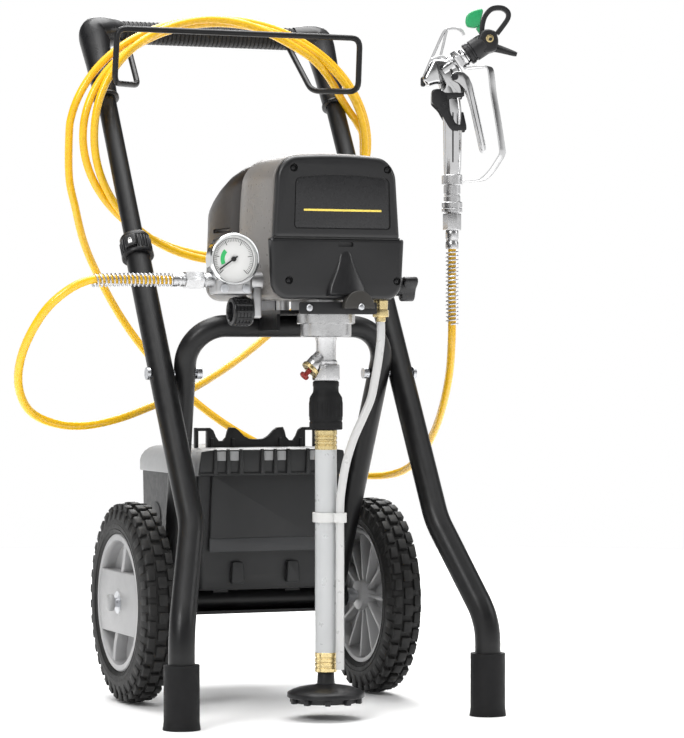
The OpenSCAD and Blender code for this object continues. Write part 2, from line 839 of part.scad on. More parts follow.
module lid_rack() {
    half = [[0, 340], [14, 342], [26, 352], [30, 355], [38, 355], [40, 342], [52, 337], [58, 350],
        [64, 354.6], [82, 354.6], [82, 350], [68, 350], [68, lid_top + 0.1]];
    other = [for (i = [len(half) - 1 : -1 : 1]) [-half[i][0], half[i][1]]];
    color("#1f2022") {
        plate_xz(concat(half, [[0, lid_top + 0.1]]), 141, 147);
        plate_xz(concat([[0, lid_top + 0.1]], other, [[0, 340]]), 141, 147);
        both_sides() block([80, 141, lid_top + 0.1], [85, 147, 354.6]);
    }
}

// ---- gun ----

// gun frame: +X forwards, Z up, turned about the hose's own axis
module at_gun() {
    translate([gun_at[0], gun_at[1], 0]) rotate([0, 0, gun_turn]) children();
}

module at_barrel() {
    translate([-14, 0, 818]) rotate([0, 90 - barrel_pitch, 0]) children();
}

module gun_plate(outline, half) {
    plate_xz(outline, -half, half);
}

module swivel_fitting() {
    at_gun() {
        translate([0, 0, 588]) cylinder(h = 24, r = 8.5);
        translate([0, 0, 611.9]) difference() {
            cylinder(h = 22, r = 12, $fn = 6);
            translate([0, 0, 4]) cylinder(h = 30, r = 7 + gap);
        }
    }
}

module gun_body() {
    color("#c6c8cb") at_gun() {
        gun_hook();
        trigger_guard();
        // pivots of the trigger and of its lock
        bar_y(-17, 17, trigger_pivot[0], trigger_pivot[1], 2.4);
        bar_y(-18.4, 18.4, lock_pivot[0], lock_pivot[1], 1.6);
        translate([0, 0, 617]) cylinder(h = 18, r = 7);
        translate([0, 0, 634.6]) cylinder(h = 14, r = 13.5);
        translate([0, 0, 648.6]) cylinder(h = 22, r = 11);
        translate([0, 0, 670.6]) cylinder(h = 14, r = 13.5);
        hull() {
            translate([1, 0, 684]) cylinder(h = 1, r = 11, $fn = 32);
            translate([0, 0, 735]) cylinder(h = 1, r = 13, $fn = 32);
        }
        hull() {
            translate([0, 0, 735]) cylinder(h = 1, r = 13, $fn = 32);
            translate([-4, 0, 800]) cylinder(h = 1, r = 12, $fn = 32);
        }
        hull() {
            gun_plate([[-34, 812], [-28, 800], [8, 798], [10, 815], [-24, 832]], 11);
            at_barrel() cylinder(h = 40, r = 13, $fn = 32);
        }
        at_barrel() translate([0, 0, 40]) cylinder(h = 14, r = 10.5);
        at_barrel() translate([0, 0, 53.9]) cylinder(h = 10, r = 8);
    }
}

module gun_hook() {
    gun_plate([[-18, 828], [-10, 838], [-14, 858], [-28, 868], [-28, 876],
        [16, 862], [18, 868], [-26, 882], [-35, 876], [-34, 864], [-22, 852]], 4);
}

module trigger_guard() {
    gun_plate([[22, 826], [52, 828], [56, 790], [74, 712], [66, 694],
        [42, 676], [11, 673], [11, 679], [40, 682], [61, 697], [68, 713], [50, 789], [46, 820],
        [22, 820]], 6);
}

module gun_trigger() {
    color("#d0d2d5") at_gun() {
        difference() {
            gun_plate([[-3, 808], [-1, 817], [12, 818], [22, 812], [27, 800], [44, 718], [39, 712],
                [31, 716], [22, 772], [8, 802]], 16.5);
            gun_plate([[-10, 830], [50, 830], [50, 700], [-10, 700]], 13.6);
            bar_y(-20, 20, trigger_pivot[0], trigger_pivot[1], 2.4 + gap);
        }
        plate_xz([[27, 770], [33.5, 770], [44, 718], [39, 712], [31, 716], [22, 768]], -13.7, 13.7);
    }
}

module trigger_lock() {
    color("#17171a") at_gun() {
        difference() {
            gun_plate([[-27, 790], [-23, 795], [-16, 795], [-11, 790], [14, 790], [14, 784], [-6, 783],
                [-5, 768], [4, 750], [10, 748], [11, 765], [14, 765], [18, 747], [18, 741], [-1, 741],
                [-5, 745], [-18, 768], [-27, 777]], 18.5);
            gun_plate([[-18, 800], [30, 800], [30, 740], [-18, 740]], 17.1);
            bar_y(-20, 20, lock_pivot[0], lock_pivot[1], 1.6 + gap);
        }
    }
}

module tip_guard() {
    color("#18181a") at_gun() at_barrel() {
        translate([0, 0, 40.5]) ring(14, 17, 10.5 + gap);
        translate([0, 0, 54.1]) ring(14.4, 17, 8 + gap);
        for (s = [-1, 1]) hull() {
            translate([-2, s * 12, 66]) cube([4, 3, 4]);
            translate([s * 9 - 2, s * 22 - 2, 88]) cube([5, 5, 6]);
        }
    }
}

module spray_tip() {
    color("#1e8a4a") at_gun() at_barrel() translate([0, 0, 73]) {
        rotate([0, -90, 0]) cylinder(h = 24, r = 4);
        hull() {
            translate([-24, -3, -3]) cube([2, 6, 6]);
            translate([-44, -9, -7]) cube([4, 18, 14]);
        }
        cylinder(h = 7, r = 3);
    }
}

// ---- hose ----

hose_r = hose_d / 2;
spring_len = 100;
coil_middle = [-8, 738];
coil_out = [216, 168];
coil_band = 24;
coil_front = 233;
coil_back = 259;

// from the pump to the coil's right side
pump_lead_route = [[-200.2, -110, 540], [-235, -110, 540], [-270, -110, 540], [-302, -110, 539.5],
    [-332, -106, 525], [-358, -96, 498], [-376, -76, 455], [-374, -46, 415], [-352, -14, 382],
    [-312, 16, 365], [-262, 48, 361], [-206, 84, 369], [-150, 120, 384], [-98, 154, 399],
    [-46, 188, 420], [6, 220, 446], [56, 248, 477], [104, 266, 514], [150, 270, 560],
    [184, 266.5, 612], [199, 265.2, 660]];

// from the coil's left side down behind the toolbox and round to the gun
gun_lead_route = [[-218, 265.2, 692], [-208, 272, 646], [-190, 290, 598], [-160, 315, 550],
    [-122, 338, 498], [-78, 352, 447], [-28, 360, 400], [28, 362, 358], [88, 360, 324],
    [148, 351, 299], [203, 334, 285], [242, 305, 282], [260, 260, 291], [263, 208, 314],
    [258, 152, 346], [249, 100, 384], [239, 57, 425], [232, 34, 462], [231, 30, 494],
    [231, 30, 540], [231, 30, 587.7]];

module hose_pump_lead() {
    color("#e3b320") swept(smooth(pump_lead_route, 3), hose_r);
}

module hose_gun_lead() {
    color("#e3b320") swept(smooth(gun_lead_route, 3), hose_r);
}

module ellipse(a, b) {
    scale([a / b, 1]) circle(r = b, $fn = 96);
}

module hose_coil() {
    color("#e3b320") translate([coil_middle[0], coil_back, coil_middle[1]]) rotate([90, 0, 0])
        linear_extrude(coil_back - coil_front) difference() {
            ellipse(coil_out[0], coil_out[1]);
            ellipse(coil_out[0] - coil_band, coil_out[1] - coil_band);
        }
}

module pump_hose_nut() {
    union() {
        translate([-184, pump_y, outlet_z]) rotate([0, 90, 0]) difference() {
            cylinder(h = 23.8, r = 11.5, $fn = 6);
            translate([0, 0, 12]) cylinder(h = 20, r = 9.2);
            translate([0, 0, -1]) cylinder(h = 20, r = 4);
        }
        bar_x(-200, -184, pump_y, outlet_z, 8);
    }
}

module hose_springs() {
    union() {
        translate([-200, pump_y, outlet_z]) rotate([0, -90, 0]) ring(spring_len, 8.8, hose_r + 1.5);
        translate([gun_at[0], gun_at[1], gun_at[2] - spring_len]) ring(spring_len, 8.8, hose_r + 1.5);
    }
}

// what is crimped and pushed on the hose's two ends
module hose_fittings() {
    color("#b4b7bb") {
        pump_hose_nut();
        hose_springs();
        swivel_fitting();
    }
}

place() leg_tube_left();
place() leg_tube_right();
place() foot_caps();
place() u_frame();
place() axle_tube();
place() axle();
place() wheel_caps();
place() frame_bolts();
place() mount_bracket();
place() tube_bushes();
place() motor_shell();
place() rear_cap();
place() front_cover();
place() lower_cover();
place() cover_screws();
place() guard_plate();
place() gear_case();
place() motor_stator();
place() pump_cylinder();
place() union_nut();
place() inlet_body();
place() suction_boot();
place() brass_fittings();
place() suction_hose();
place() strainer_disc();
place() return_tube();
place() tube_clip();
place() outlet_manifold();
place() gauge_case();
place() cable_gland();
place() toolbox();
place() handle_tubes();
place() handle_corners();
place() hand_grip();
place() hose_hanger();
place() collar_left();
place() collar_right();
place() tyre_left();
place() tyre_right();
place() rim_left();
place() rim_right();
place() toolbox_lid();
place() lid_rack();
place() prime_knob();
place() pressure_knob();
place() power_switch();
place() inlet_pusher();
place() rotor();
place() drive_gear();
place() piston_rod();
place() gauge_pointer();
place() gun_body();
place() gun_trigger();
place() trigger_lock();
place() tip_guard();
place() spray_tip();
place() hose_pump_lead();
place() hose_coil();
place() hose_gun_lead();
place() hose_fittings();
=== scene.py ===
import math

import bmesh
import bpy
from mathutils import Matrix, Vector


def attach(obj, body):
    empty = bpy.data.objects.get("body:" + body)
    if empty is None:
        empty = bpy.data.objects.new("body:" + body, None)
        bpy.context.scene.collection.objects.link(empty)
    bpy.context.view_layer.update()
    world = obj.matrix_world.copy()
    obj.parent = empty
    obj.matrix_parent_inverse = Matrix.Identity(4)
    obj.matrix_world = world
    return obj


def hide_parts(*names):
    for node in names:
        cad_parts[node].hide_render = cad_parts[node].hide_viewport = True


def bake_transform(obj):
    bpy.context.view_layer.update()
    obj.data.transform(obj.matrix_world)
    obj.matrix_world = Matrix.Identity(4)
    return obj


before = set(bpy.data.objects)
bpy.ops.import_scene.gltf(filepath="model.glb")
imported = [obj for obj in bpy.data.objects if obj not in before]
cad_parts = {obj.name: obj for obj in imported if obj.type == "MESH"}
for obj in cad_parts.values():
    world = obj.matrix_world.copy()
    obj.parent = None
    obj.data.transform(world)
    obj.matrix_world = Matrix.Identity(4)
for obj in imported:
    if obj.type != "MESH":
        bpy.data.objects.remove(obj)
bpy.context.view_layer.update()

# Pieces are built in the machine's own millimetres and then moved to the row frame in metres.
ORIGIN = (40.95, 94.62, 0.0)
TO_ROW = Matrix.Scale(0.001, 4) @ Matrix.Translation([-c for c in ORIGIN])


HERE, UP = (0, 0, 0), (0, 0, 1)
SIDES = ((-1, "left"), (1, "right"))
PUMP = (0, -110, 0)
PORT, PORT_WAY = (0, -110, 452), (-1, 0, -1)


# ---- mesh helpers ----


def bridge(bm, loops, caps=True, closed=False):
    """Skins loops of vertices; a loop of one vertex closes to a point."""
    pairs = list(zip(loops, loops[1:]))
    if closed:
        pairs.append((loops[-1], loops[0]))
    for a, b in pairs:
        count = max(len(a), len(b))
        for i in range(count):
            j = (i + 1) % count
            quad = [a[i % len(a)], a[j % len(a)], b[j % len(b)], b[i % len(b)]]
            corners = list(dict.fromkeys(quad))
            if len(corners) > 2:
                bm.faces.new(corners)
    if caps and not closed:
        for loop in (loops[0], loops[-1]):
            if len(loop) > 2:
                bm.faces.new(loop)


def skin(bm, sections, caps=True, closed=False):
    bridge(bm, [[bm.verts.new(p) for p in s] for s in sections], caps, closed)


def around(r, degrees, x=0.0, y=0.0):
    """The point at distance r and at an angle from (x, y)."""
    a = math.radians(degrees)
    return x + r * math.cos(a), y + r * math.sin(a)


def lathe(bm, profile, base, axis, n=64, closed=False):
    """profile is a list of (height along axis, radius)."""
    axis = Vector(axis).normalized()
    side = Vector((0, 0, 1)) if abs(axis.z) < 0.9 else Vector((1, 0, 0))
    side = (side - axis * side.dot(axis)).normalized()
    other = axis.cross(side)
    loops = []
    for h, r in profile:
        centre = Vector(base) + axis * h
        if r < 1e-6:
            loops.append([bm.verts.new(centre)])
            continue
        turns = [2 * math.pi * i / n for i in range(n)]
        loops.append([bm.verts.new(centre + (side * math.cos(t) + other * math.sin(t)) * r) for t in turns])
    bridge(bm, loops, True, closed)


def sweep(bm, points, radius, n=18, caps=True, flat=1.0, start=None):
    """A tube along points; radius is one number or one for each point."""
    pts = [Vector(p) for p in points]
    radii = list(radius) if isinstance(radius, (list, tuple)) else [radius] * len(pts)
    normal = Vector(start) if start else None
    loops = []
    for i, p in enumerate(pts):
        t = (pts[min(i + 1, len(pts) - 1)] - pts[max(i - 1, 0)]).normalized()
        if normal is None:
            normal = t.orthogonal()
        normal = (normal - t * normal.dot(t)).normalized()
        other = t.cross(normal)
        turns = [2 * math.pi * k / n for k in range(n)]
        loops.append([
            bm.verts.new(p + normal * math.cos(a) * radii[i] + other * math.sin(a) * radii[i] * flat)
            for a in turns
        ])
    bridge(bm, loops, caps)


def smooth_path(points, per=6):
    """A Catmull-Rom line through the points."""
    pts = [Vector(p) for p in points]
    out = []
    for i in range(len(pts) - 1):
        a, b, c, d = pts[max(i - 1, 0)], pts[i], pts[i + 1], pts[min(i + 2, len(pts) - 1)]
        for k in range(per):
            t = k / per
            out.append(0.5 * (2 * b + (c - a) * t + (2 * a - 5 * b + 4 * c - d) * t * t
                + (3 * b - a - 3 * c + d) * t ** 3))
    return out + [pts[-1]]


def rounded(outline, r, closed=True, steps=4):
    """A 2-D outline with its corners rounded by up to r."""
    pts = [Vector(p) for p in outline]
    out = []
    for i, p in enumerate(pts):
        if not closed and i in (0, len(pts) - 1):
            out.append(p)
            continue
        a, b = pts[i - 1], pts[(i + 1) % len(pts)]
        da, db = (a - p), (b - p)
        if da.length < 1e-6 or db.length < 1e-6:
            continue
        reach = min(r, da.length * 0.49, db.length * 0.49)
        s, e = p + da.normalized() * reach, p + db.normalized() * reach
        for k in range(steps + 1):
            t = k / steps
            out.append(s * (1 - t) ** 2 + p * 2 * t * (1 - t) + e * t * t)
    return [tuple(p) for p in out]


def inset(outline, d):
    """The outline moved inwards by d."""
    area = sum(a[0] * b[1] - b[0] * a[1] for a, b in zip(outline, outline[1:] + outline[:1]))
    sign = 1 if area > 0 else -1
    out = []
    for i, p in enumerate(outline):
        a, b = Vector(outline[i - 1]), Vector(outline[(i + 1) % len(outline)])
        p = Vector(p)
        e1, e2 = (p - a).normalized(), (b - p).normalized()
        n1, n2 = Vector((-e1.y, e1.x)) * sign, Vector((-e2.y, e2.x)) * sign
        out.append(tuple(p + (n1 + n2) / max(0.4, 1 + n1.dot(n2)) * d))
    return out


def prism(bm, outline, lo, hi, edge=1.0, plane="xz", steps=3):
    """An outline made solid between lo and hi, with its rims rounded. plane names the outline's two axes."""
    place = {
        "xz": lambda a, b, h: (a, h, b),
        "xy": lambda a, b, h: (a, b, h),
        "yz": lambda a, b, h: (h, a, b),
    }[plane]
    levels = [(lo + edge * (1 - math.cos(math.pi / 2 * k / steps)),
        edge * (1 - math.sin(math.pi / 2 * k / steps))) for k in range(steps + 1)]
    levels += [(hi - (h - lo), d) for h, d in reversed(levels)]
    skin(bm, [[place(a, b, h) for a, b in inset(outline, d)] for h, d in levels])


def add_mesh(bm, other, matrix):
    """Adds the mesh other, moved by matrix, to bm."""
    bmesh.ops.transform(other, matrix=matrix, verts=other.verts)
    held = bpy.data.meshes.new("held")
    other.to_mesh(held)
    other.free()
    bm.from_mesh(held)
    bpy.data.meshes.remove(held)


def rbox(bm, lo, hi, r=2.0, steps=3):
    """A box with rounded edges."""
    made = bmesh.ops.create_cube(bm, size=1.0)["verts"]
    size = Vector(hi) - Vector(lo)
    middle = (Vector(hi) + Vector(lo)) / 2
    for v in made:
        v.co = Vector((v.co.x * size.x, v.co.y * size.y, v.co.z * size.z)) + middle
    edges = list({e for v in made for e in v.link_edges})
    bmesh.ops.bevel(bm, geom=edges, offset=min(r, min(size) * 0.45), segments=steps, profile=0.5,
        affect="EDGES", clamp_overlap=True)


def rrect(x0, x1, z0, z1, r, n=6):
    """A rounded rectangle as a list of 2-D points."""
    out = []
    for cx, cz, start in ((x1 - r, z1 - r, 0), (x0 + r, z1 - r, 90), (x0 + r, z0 + r, 180),
        (x1 - r, z0 + r, 270)):
        for k in range(n + 1):
            a = math.radians(start + 90 * k / n)
            out.append((cx + r * math.cos(a), cz + r * math.sin(a)))
    return out


def lobes(count, outer, inner, share=0.5, n=8):
    """The outline of a knob with rounded lobes."""
    out = []
    for i in range(count * n * 2):
        t = (i / (n * 2)) % 1
        wave = 0.5 + 0.5 * math.cos(2 * math.pi * t)
        wave = wave ** (0.5 / share) if share < 0.5 else 1 - (1 - wave) ** (share / 0.5)
        r = inner + (outer - inner) * wave
        a = 2 * math.pi * i / (count * n * 2)
        out.append((r * math.cos(a), r * math.sin(a)))
    return out


def piece(name, bm, body, material, replaces=(), place=None, sharp=38.0):
    """Turns a mesh in machine millimetres into a piece that rides on a body."""
    if place is not None:
        bmesh.ops.transform(bm, matrix=place, verts=bm.verts)
    bmesh.ops.transform(bm, matrix=TO_ROW, verts=bm.verts)
    bmesh.ops.recalc_face_normals(bm, faces=bm.faces)
    for f in bm.faces:
        f.smooth = True
    for e in bm.edges:
        if len(e.link_faces) == 2 and e.calc_face_angle(0) > math.radians(sharp):
            e.smooth = False
    mesh = bpy.data.meshes.new(name)
    bm.to_mesh(mesh)
    bm.free()
    obj = bpy.data.objects.new(name, mesh)
    bpy.context.scene.collection.objects.link(obj)
    mesh.materials.append(material)
    if body:
        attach(obj, body)
    if replaces:
        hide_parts(*replaces)
    return obj


def carve(obj, *cutters):
    """Cuts closed meshes, in machine millimetres, out of a piece."""
    for bm in cutters:
        bmesh.ops.transform(bm, matrix=TO_ROW, verts=bm.verts)
        bmesh.ops.recalc_face_normals(bm, faces=bm.faces)
        mesh = bpy.data.meshes.new("cutter")
        bm.to_mesh(mesh)
        bm.free()
        tool = bpy.data.objects.new("cutter", mesh)
        bpy.context.scene.collection.objects.link(tool)
        mod = obj.modifiers.new("cut", "BOOLEAN")
        mod.operation, mod.solver, mod.object = "DIFFERENCE", "EXACT", tool
        bpy.context.view_layer.update()
        cut = bpy.data.meshes.new_from_object(obj.evaluated_get(bpy.context.evaluated_depsgraph_get()))
        obj.modifiers.clear()
        obj.data = cut
        bpy.data.objects.remove(tool)
    work = bmesh.new()
    work.from_mesh(obj.data)
    for e in work.edges:
        e.smooth = not (len(e.link_faces) == 2 and e.calc_face_angle(0) > math.radians(35))
    for f in work.faces:
        f.smooth = True
    work.to_mesh(obj.data)
    work.free()


# ---- materials ----


def noise_node(tree, scale, detail=3.0, stretch=None):
    coords = tree.nodes.new("ShaderNodeTexCoord")
    tex = tree.nodes.new("ShaderNodeTexNoise")
    tex.inputs["Scale"].default_value = scale
    tex.inputs["Detail"].default_value = detail
    if stretch:
        mapping = tree.nodes.new("ShaderNodeMapping")
        mapping.inputs["Scale"].default_value = stretch
        tree.links.new(coords.outputs["Object"], mapping.inputs["Vector"])
        tree.links.new(mapping.outputs["Vector"], tex.inputs["Vector"])
    else:
        tree.links.new(coords.outputs["Object"], tex.inputs["Vector"])
    return tex


def shade(color, k):
    return tuple(min(1.0, max(0.0, c * k)) for c in color) + (1.0,)


def finish_of(name, color, rough, metallic=0.0, vary=0.12, patch=35.0, rough_vary=0.12, grain=900.0,
              bump=0.15, depth=0.0002, stretch=None, coat=0.0, transmission=0.0, spec=0.5):
    """A procedural material: patchy colour, uneven gloss and a fine surface grain."""
    mat = bpy.data.materials.new(name)
    mat.use_nodes = True
    tree = mat.node_tree
    shader = tree.nodes["Principled BSDF"]
    shader.inputs["Metallic"].default_value = metallic
    shader.inputs["Coat Weight"].default_value = coat
    shader.inputs["Coat Roughness"].default_value = 0.12
    shader.inputs["Transmission Weight"].default_value = transmission
    shader.inputs["Specular IOR Level"].default_value = spec
    cloud = noise_node(tree, patch, 4.0)
    ramp = tree.nodes.new("ShaderNodeValToRGB")
    ramp.color_ramp.elements[0].position, ramp.color_ramp.elements[1].position = 0.3, 0.7
    ramp.color_ramp.elements[0].color = shade(color, 1 - vary)
    ramp.color_ramp.elements[1].color = shade(color, 1 + vary)
    tree.links.new(cloud.outputs["Fac"], ramp.inputs["Fac"])
    tree.links.new(ramp.outputs["Color"], shader.inputs["Base Color"])
    gloss = noise_node(tree, patch * 4, 5.0, stretch)
    spread = tree.nodes.new("ShaderNodeMapRange")
    spread.inputs["From Min"].default_value, spread.inputs["From Max"].default_value = 0.3, 0.7
    spread.inputs["To Min"].default_value = max(0.02, rough * (1 - rough_vary))
    spread.inputs["To Max"].default_value = min(1.0, rough * (1 + rough_vary))
    tree.links.new(gloss.outputs["Fac"], spread.inputs["Value"])
    tree.links.new(spread.outputs["Result"], shader.inputs["Roughness"])
    fine = noise_node(tree, grain, 2.0, stretch)
    bumps = tree.nodes.new("ShaderNodeBump")
    bumps.inputs["Strength"].default_value = bump
    bumps.inputs["Distance"].default_value = depth
    tree.links.new(fine.outputs["Fac"], bumps.inputs["Height"])
    tree.links.new(bumps.outputs["Normal"], shader.inputs["Normal"])
    return mat


POWDER = finish_of("powder_coat", (0.0065, 0.0065, 0.007), 0.36, rough_vary=0.15, grain=1400, bump=0.3,
    spec=0.32)
RUBBER = finish_of("foot_rubber", (0.006, 0.006, 0.0065), 0.6, grain=700, bump=0.3, spec=0.22)
TYRE = finish_of("tyre_rubber", (0.0095, 0.0093, 0.009), 0.6, vary=0.25, patch=60, grain=500, bump=0.45,
    spec=0.35)
GRIP = finish_of("grip_rubber", (0.008, 0.008, 0.0085), 0.5, grain=900, bump=0.3, spec=0.35)
BLACK = finish_of("black_plastic", (0.008, 0.008, 0.009), 0.4, grain=1600, bump=0.2, spec=0.4)
SATIN = finish_of("black_satin", (0.007, 0.007, 0.008), 0.3, grain=1600, bump=0.15, spec=0.45)
SHELL = finish_of("shell_taupe", (0.155, 0.145, 0.136), 0.3, vary=0.03, grain=900, bump=0.03)
CAP = finish_of("cap_brown", (0.014, 0.011, 0.0095), 0.32, vary=0.08, grain=1500, bump=0.2, spec=0.45)
CHARCOAL = finish_of("cover_charcoal", (0.011, 0.011, 0.0118), 0.33, vary=0.06, grain=1500, bump=0.2,
    spec=0.45)
PANEL = finish_of("name_panel", (0.017, 0.017, 0.018), 0.28, vary=0.05, grain=900, bump=0.01, spec=0.45)
DISC = finish_of("guard_disc", (0.032, 0.03, 0.027), 0.42, vary=0.06, grain=1200, bump=0.2, spec=0.4)
YELLOW_LINE = finish_of("panel_line", (0.86, 0.66, 0.12), 0.35, vary=0.04, bump=0.05)
BOX = finish_of("box_black", (0.0125, 0.0128, 0.0135), 0.42, vary=0.07, grain=1200, bump=0.3, spec=0.4)
BOX_BAND = finish_of("box_band", (0.034, 0.035, 0.037), 0.42, vary=0.06, grain=1200, bump=0.25, spec=0.4)
LID = finish_of("lid_grey", (0.28, 0.283, 0.286), 0.4, vary=0.04, grain=1300, bump=0.2)
LID_DARK = finish_of("lid_flange", (0.013, 0.0135, 0.014), 0.4, vary=0.06, grain=1300, bump=0.25, spec=0.4)
RIM = finish_of("rim_grey", (0.29, 0.29, 0.293), 0.38, vary=0.05, grain=1200, bump=0.2)
HOSE = finish_of("hose_yellow", (0.8, 0.46, 0.008), 0.27, vary=0.05, patch=50, grain=450, bump=0.12,
    depth=0.0002, coat=0.3)
SILVER = finish_of("pump_silver", (0.5, 0.5, 0.505), 0.3, 1.0, vary=0.06, patch=90, rough_vary=0.3,
    grain=500, bump=0.12, stretch=(1, 1, 9))
CAST = finish_of("cast_metal", (0.4, 0.4, 0.405), 0.36, 0.95, vary=0.12, patch=120, grain=900, bump=0.5)
POLISH = finish_of("polished_alloy", (0.6, 0.6, 0.605), 0.15, 1.0, vary=0.05, patch=60, rough_vary=0.35,
    grain=350, bump=0.06, depth=0.0003)
CHROME = finish_of("chrome", (0.62, 0.63, 0.635), 0.09, 1.0, vary=0.03, rough_vary=0.4, grain=300,
    bump=0.03)
STEEL = finish_of("zinc_steel", (0.5, 0.51, 0.53), 0.32, 1.0, vary=0.12, patch=150, grain=700, bump=0.3)
BRASS = finish_of("brass", (0.66, 0.53, 0.27), 0.28, 1.0, vary=0.12, patch=120, rough_vary=0.3,
    grain=500, bump=0.1)
CLEAR = finish_of("suction_tube", (0.56, 0.57, 0.575), 0.3, vary=0.015, patch=20, transmission=0.15,
    grain=120, bump=0.02, coat=0.2)
TUBE = finish_of("return_tube", (0.6, 0.6, 0.595), 0.3, vary=0.015, patch=20, transmission=0.1, grain=120,
    bump=0.02)
CLIP = finish_of("clip_white", (0.6, 0.6, 0.59), 0.4, vary=0.03, bump=0.1)
SCREW = finish_of("screw_black", (0.02, 0.02, 0.022), 0.35, 0.5, vary=0.1, grain=900, bump=0.2)
STATOR = finish_of("laminations", (0.2, 0.205, 0.22), 0.4, 0.9, vary=0.15, grain=900, bump=0.3)
RED = finish_of("switch_red", (0.45, 0.012, 0.012), 0.28, vary=0.06, bump=0.08)
DARK_RED = finish_of("pusher_red", (0.22, 0.014, 0.01), 0.35, vary=0.1, bump=0.15)
GREEN = finish_of("tip_green", (0.015, 0.29, 0.1), 0.33, vary=0.07, grain=1200, bump=0.15)
DIAL = finish_of("dial_white", (0.66, 0.66, 0.65), 0.5, vary=0.02, bump=0.05)
INK = finish_of("dial_ink", (0.015, 0.015, 0.016), 0.5, vary=0.1, bump=0.05)
ZONE = finish_of("dial_green", (0.03, 0.42, 0.12), 0.45, vary=0.08, bump=0.05)
# painted shade: a near-black for pieces set into gaps, recesses and bores and along edges, standing in for the
# shade there
PAINTED_SHADE = finish_of("painted_shade_black", (0.005, 0.005, 0.005), 0.7, vary=0.2, bump=0.2)
MARK = finish_of("pale_mark", (0.75, 0.75, 0.74), 0.45, vary=0.05, bump=0.05)

# ---- camera, floor and light ----

cam_data = bpy.data.cameras.new("camera")
cam_data.lens, cam_data.sensor_width = 148.78, 36.0
camera = bpy.data.objects.new("camera", cam_data)
bpy.context.scene.collection.objects.link(camera)
camera.location = (-1.40575, -3.71252, 0.4459)
camera.rotation_mode = "QUATERNION"
camera.rotation_quaternion = Vector((0.3675, 0.93, -0.0037)).to_track_quat("-Z", "Y")
cam_data.clip_start, cam_data.clip_end = 0.05, 60.0
bpy.context.scene.camera = camera

FLOOR = finish_of("floor_white", (0.97, 0.97, 0.97), 0.8, vary=0.01, patch=2, grain=120, bump=0.02)
floor_mesh = bpy.data.meshes.new("floor")
FLOOR_R = 3.2
floor_edge = [(*around(FLOOR_R, a), 0) for a in range(0, 360, 5)]
floor_mesh.from_pydata(floor_edge, [], [tuple(range(len(floor_edge)))])
floor = bpy.data.objects.new("floor", floor_mesh)
bpy.context.scene.collection.objects.link(floor)
floor_mesh.materials.append(FLOOR)


def area_light(name, place, size, power, aim=(0.0, 0.0, 0.45)):
    data = bpy.data.lights.new(name, "AREA")
    data.shape, data.size, data.energy = "DISK", size, power
    light = bpy.data.objects.new(name, data)
    light.location = place
    light.rotation_mode = "QUATERNION"
    light.rotation_quaternion = (Vector(aim) - Vector(place)).to_track_quat("-Z", "Y")
    bpy.context.scene.collection.objects.link(light)


area_light("key", (-2.4, -2.0, 2.4), 1.2, 52)
area_light("fill", (2.4, -1.2, 1.6), 1.2, 12)
area_light("rim", (0.8, 2.6, 2.4), 1.8, 50)
area_light("top", (0.0, 0.3, 3.6), 3.0, 150)
world = bpy.data.worlds.new("studio")
world.use_nodes = True
sky = world.node_tree
direction = sky.nodes.new("ShaderNodeTexCoord")
height = sky.nodes.new("ShaderNodeSeparateXYZ")
bands = sky.nodes.new("ShaderNodeValToRGB")
stops = bands.color_ramp.elements
for position, value in ((0.13, 1.0), (0.22, 0.1), (0.56, 0.1), (0.74, 1.0)):
    stop = stops.new(position)
    stop.color = (value, value, value, 1)
stops[0].color = stops[-1].color = (1, 1, 1, 1)
sky.links.new(direction.outputs["Generated"], height.inputs["Vector"])
sky.links.new(height.outputs["Z"], bands.inputs["Fac"])
sky.links.new(bands.outputs["Color"], sky.nodes["Background"].inputs["Color"])
sky.nodes["Background"].inputs["Strength"].default_value = 1.0
bpy.context.scene.view_settings.view_transform = "Standard"
bpy.context.scene.world = world

# ---- the hose: one line from the pump, round the coil and down to the gun ----

HOSE_R = 5.25
PUMP_LEAD = [(-188, -110, 540), (-200.2, -110, 540), (-235, -110, 540), (-270, -110, 540),
    (-302, -110, 539.5),
    (-332, -106, 525), (-358, -96, 498), (-376, -76, 455), (-374, -46, 415), (-352, -14, 382),
    (-312, 16, 365), (-262, 48, 361), (-206, 84, 369), (-150, 120, 384), (-98, 154, 399),
    (-46, 188, 420), (6, 220, 446), (56, 248, 477), (104, 266, 514), (150, 270, 560),
    (184, 266.5, 612), (199, 265.6, 660), (203, 265.4, 700)]
GUN_LEAD = [(-216, 265.2, 705), (-218, 266, 685), (-208, 272, 646), (-190, 290, 598), (-160, 315, 550),
    (-122, 338, 498), (-78, 352, 447), (-28, 360, 400), (28, 362, 358), (88, 360, 324),
    (148, 351, 299), (203, 334, 285), (242, 305, 282), (260, 260, 291), (263, 208, 314),
    (258, 152, 346), (249, 100, 384), (239, 57, 425), (232, 34, 462), (231, 30, 494),
    (231, 30, 540), (231, 30, 592)]
COIL_MIDDLE = (-8, 738)
COIL_REACH = (216 - HOSE_R, 168 - HOSE_R)
# angle round the coil, distance inside its outer line, and place from front to back
COIL_KEYS = [(2, 2, 264.5), (24, 18, 262), (55, 18, 240), (100, 2, 238.5), (180, 27, 238.5),
    (270, 0, 238.5),
    (330, 6, 240), (360, 8, 243), (450, 8, 246.5), (540, 14, 246.5), (630, 8, 246.5), (690, 8, 248),
    (720, 0, 253.5), (810, 0, 254), (870, 0, 256), (898, 0, 263.5)]


def eased(keys, at):
    for a, b in zip(keys, keys[1:]):
        if at <= b[0]:
            t = min(1.0, max(0.0, (at - a[0]) / (b[0] - a[0])))
            t = t * t * (3 - 2 * t)
            return [p + (q - p) * t for p, q in zip(a[1:], b[1:])]
    return list(keys[-1][1:])


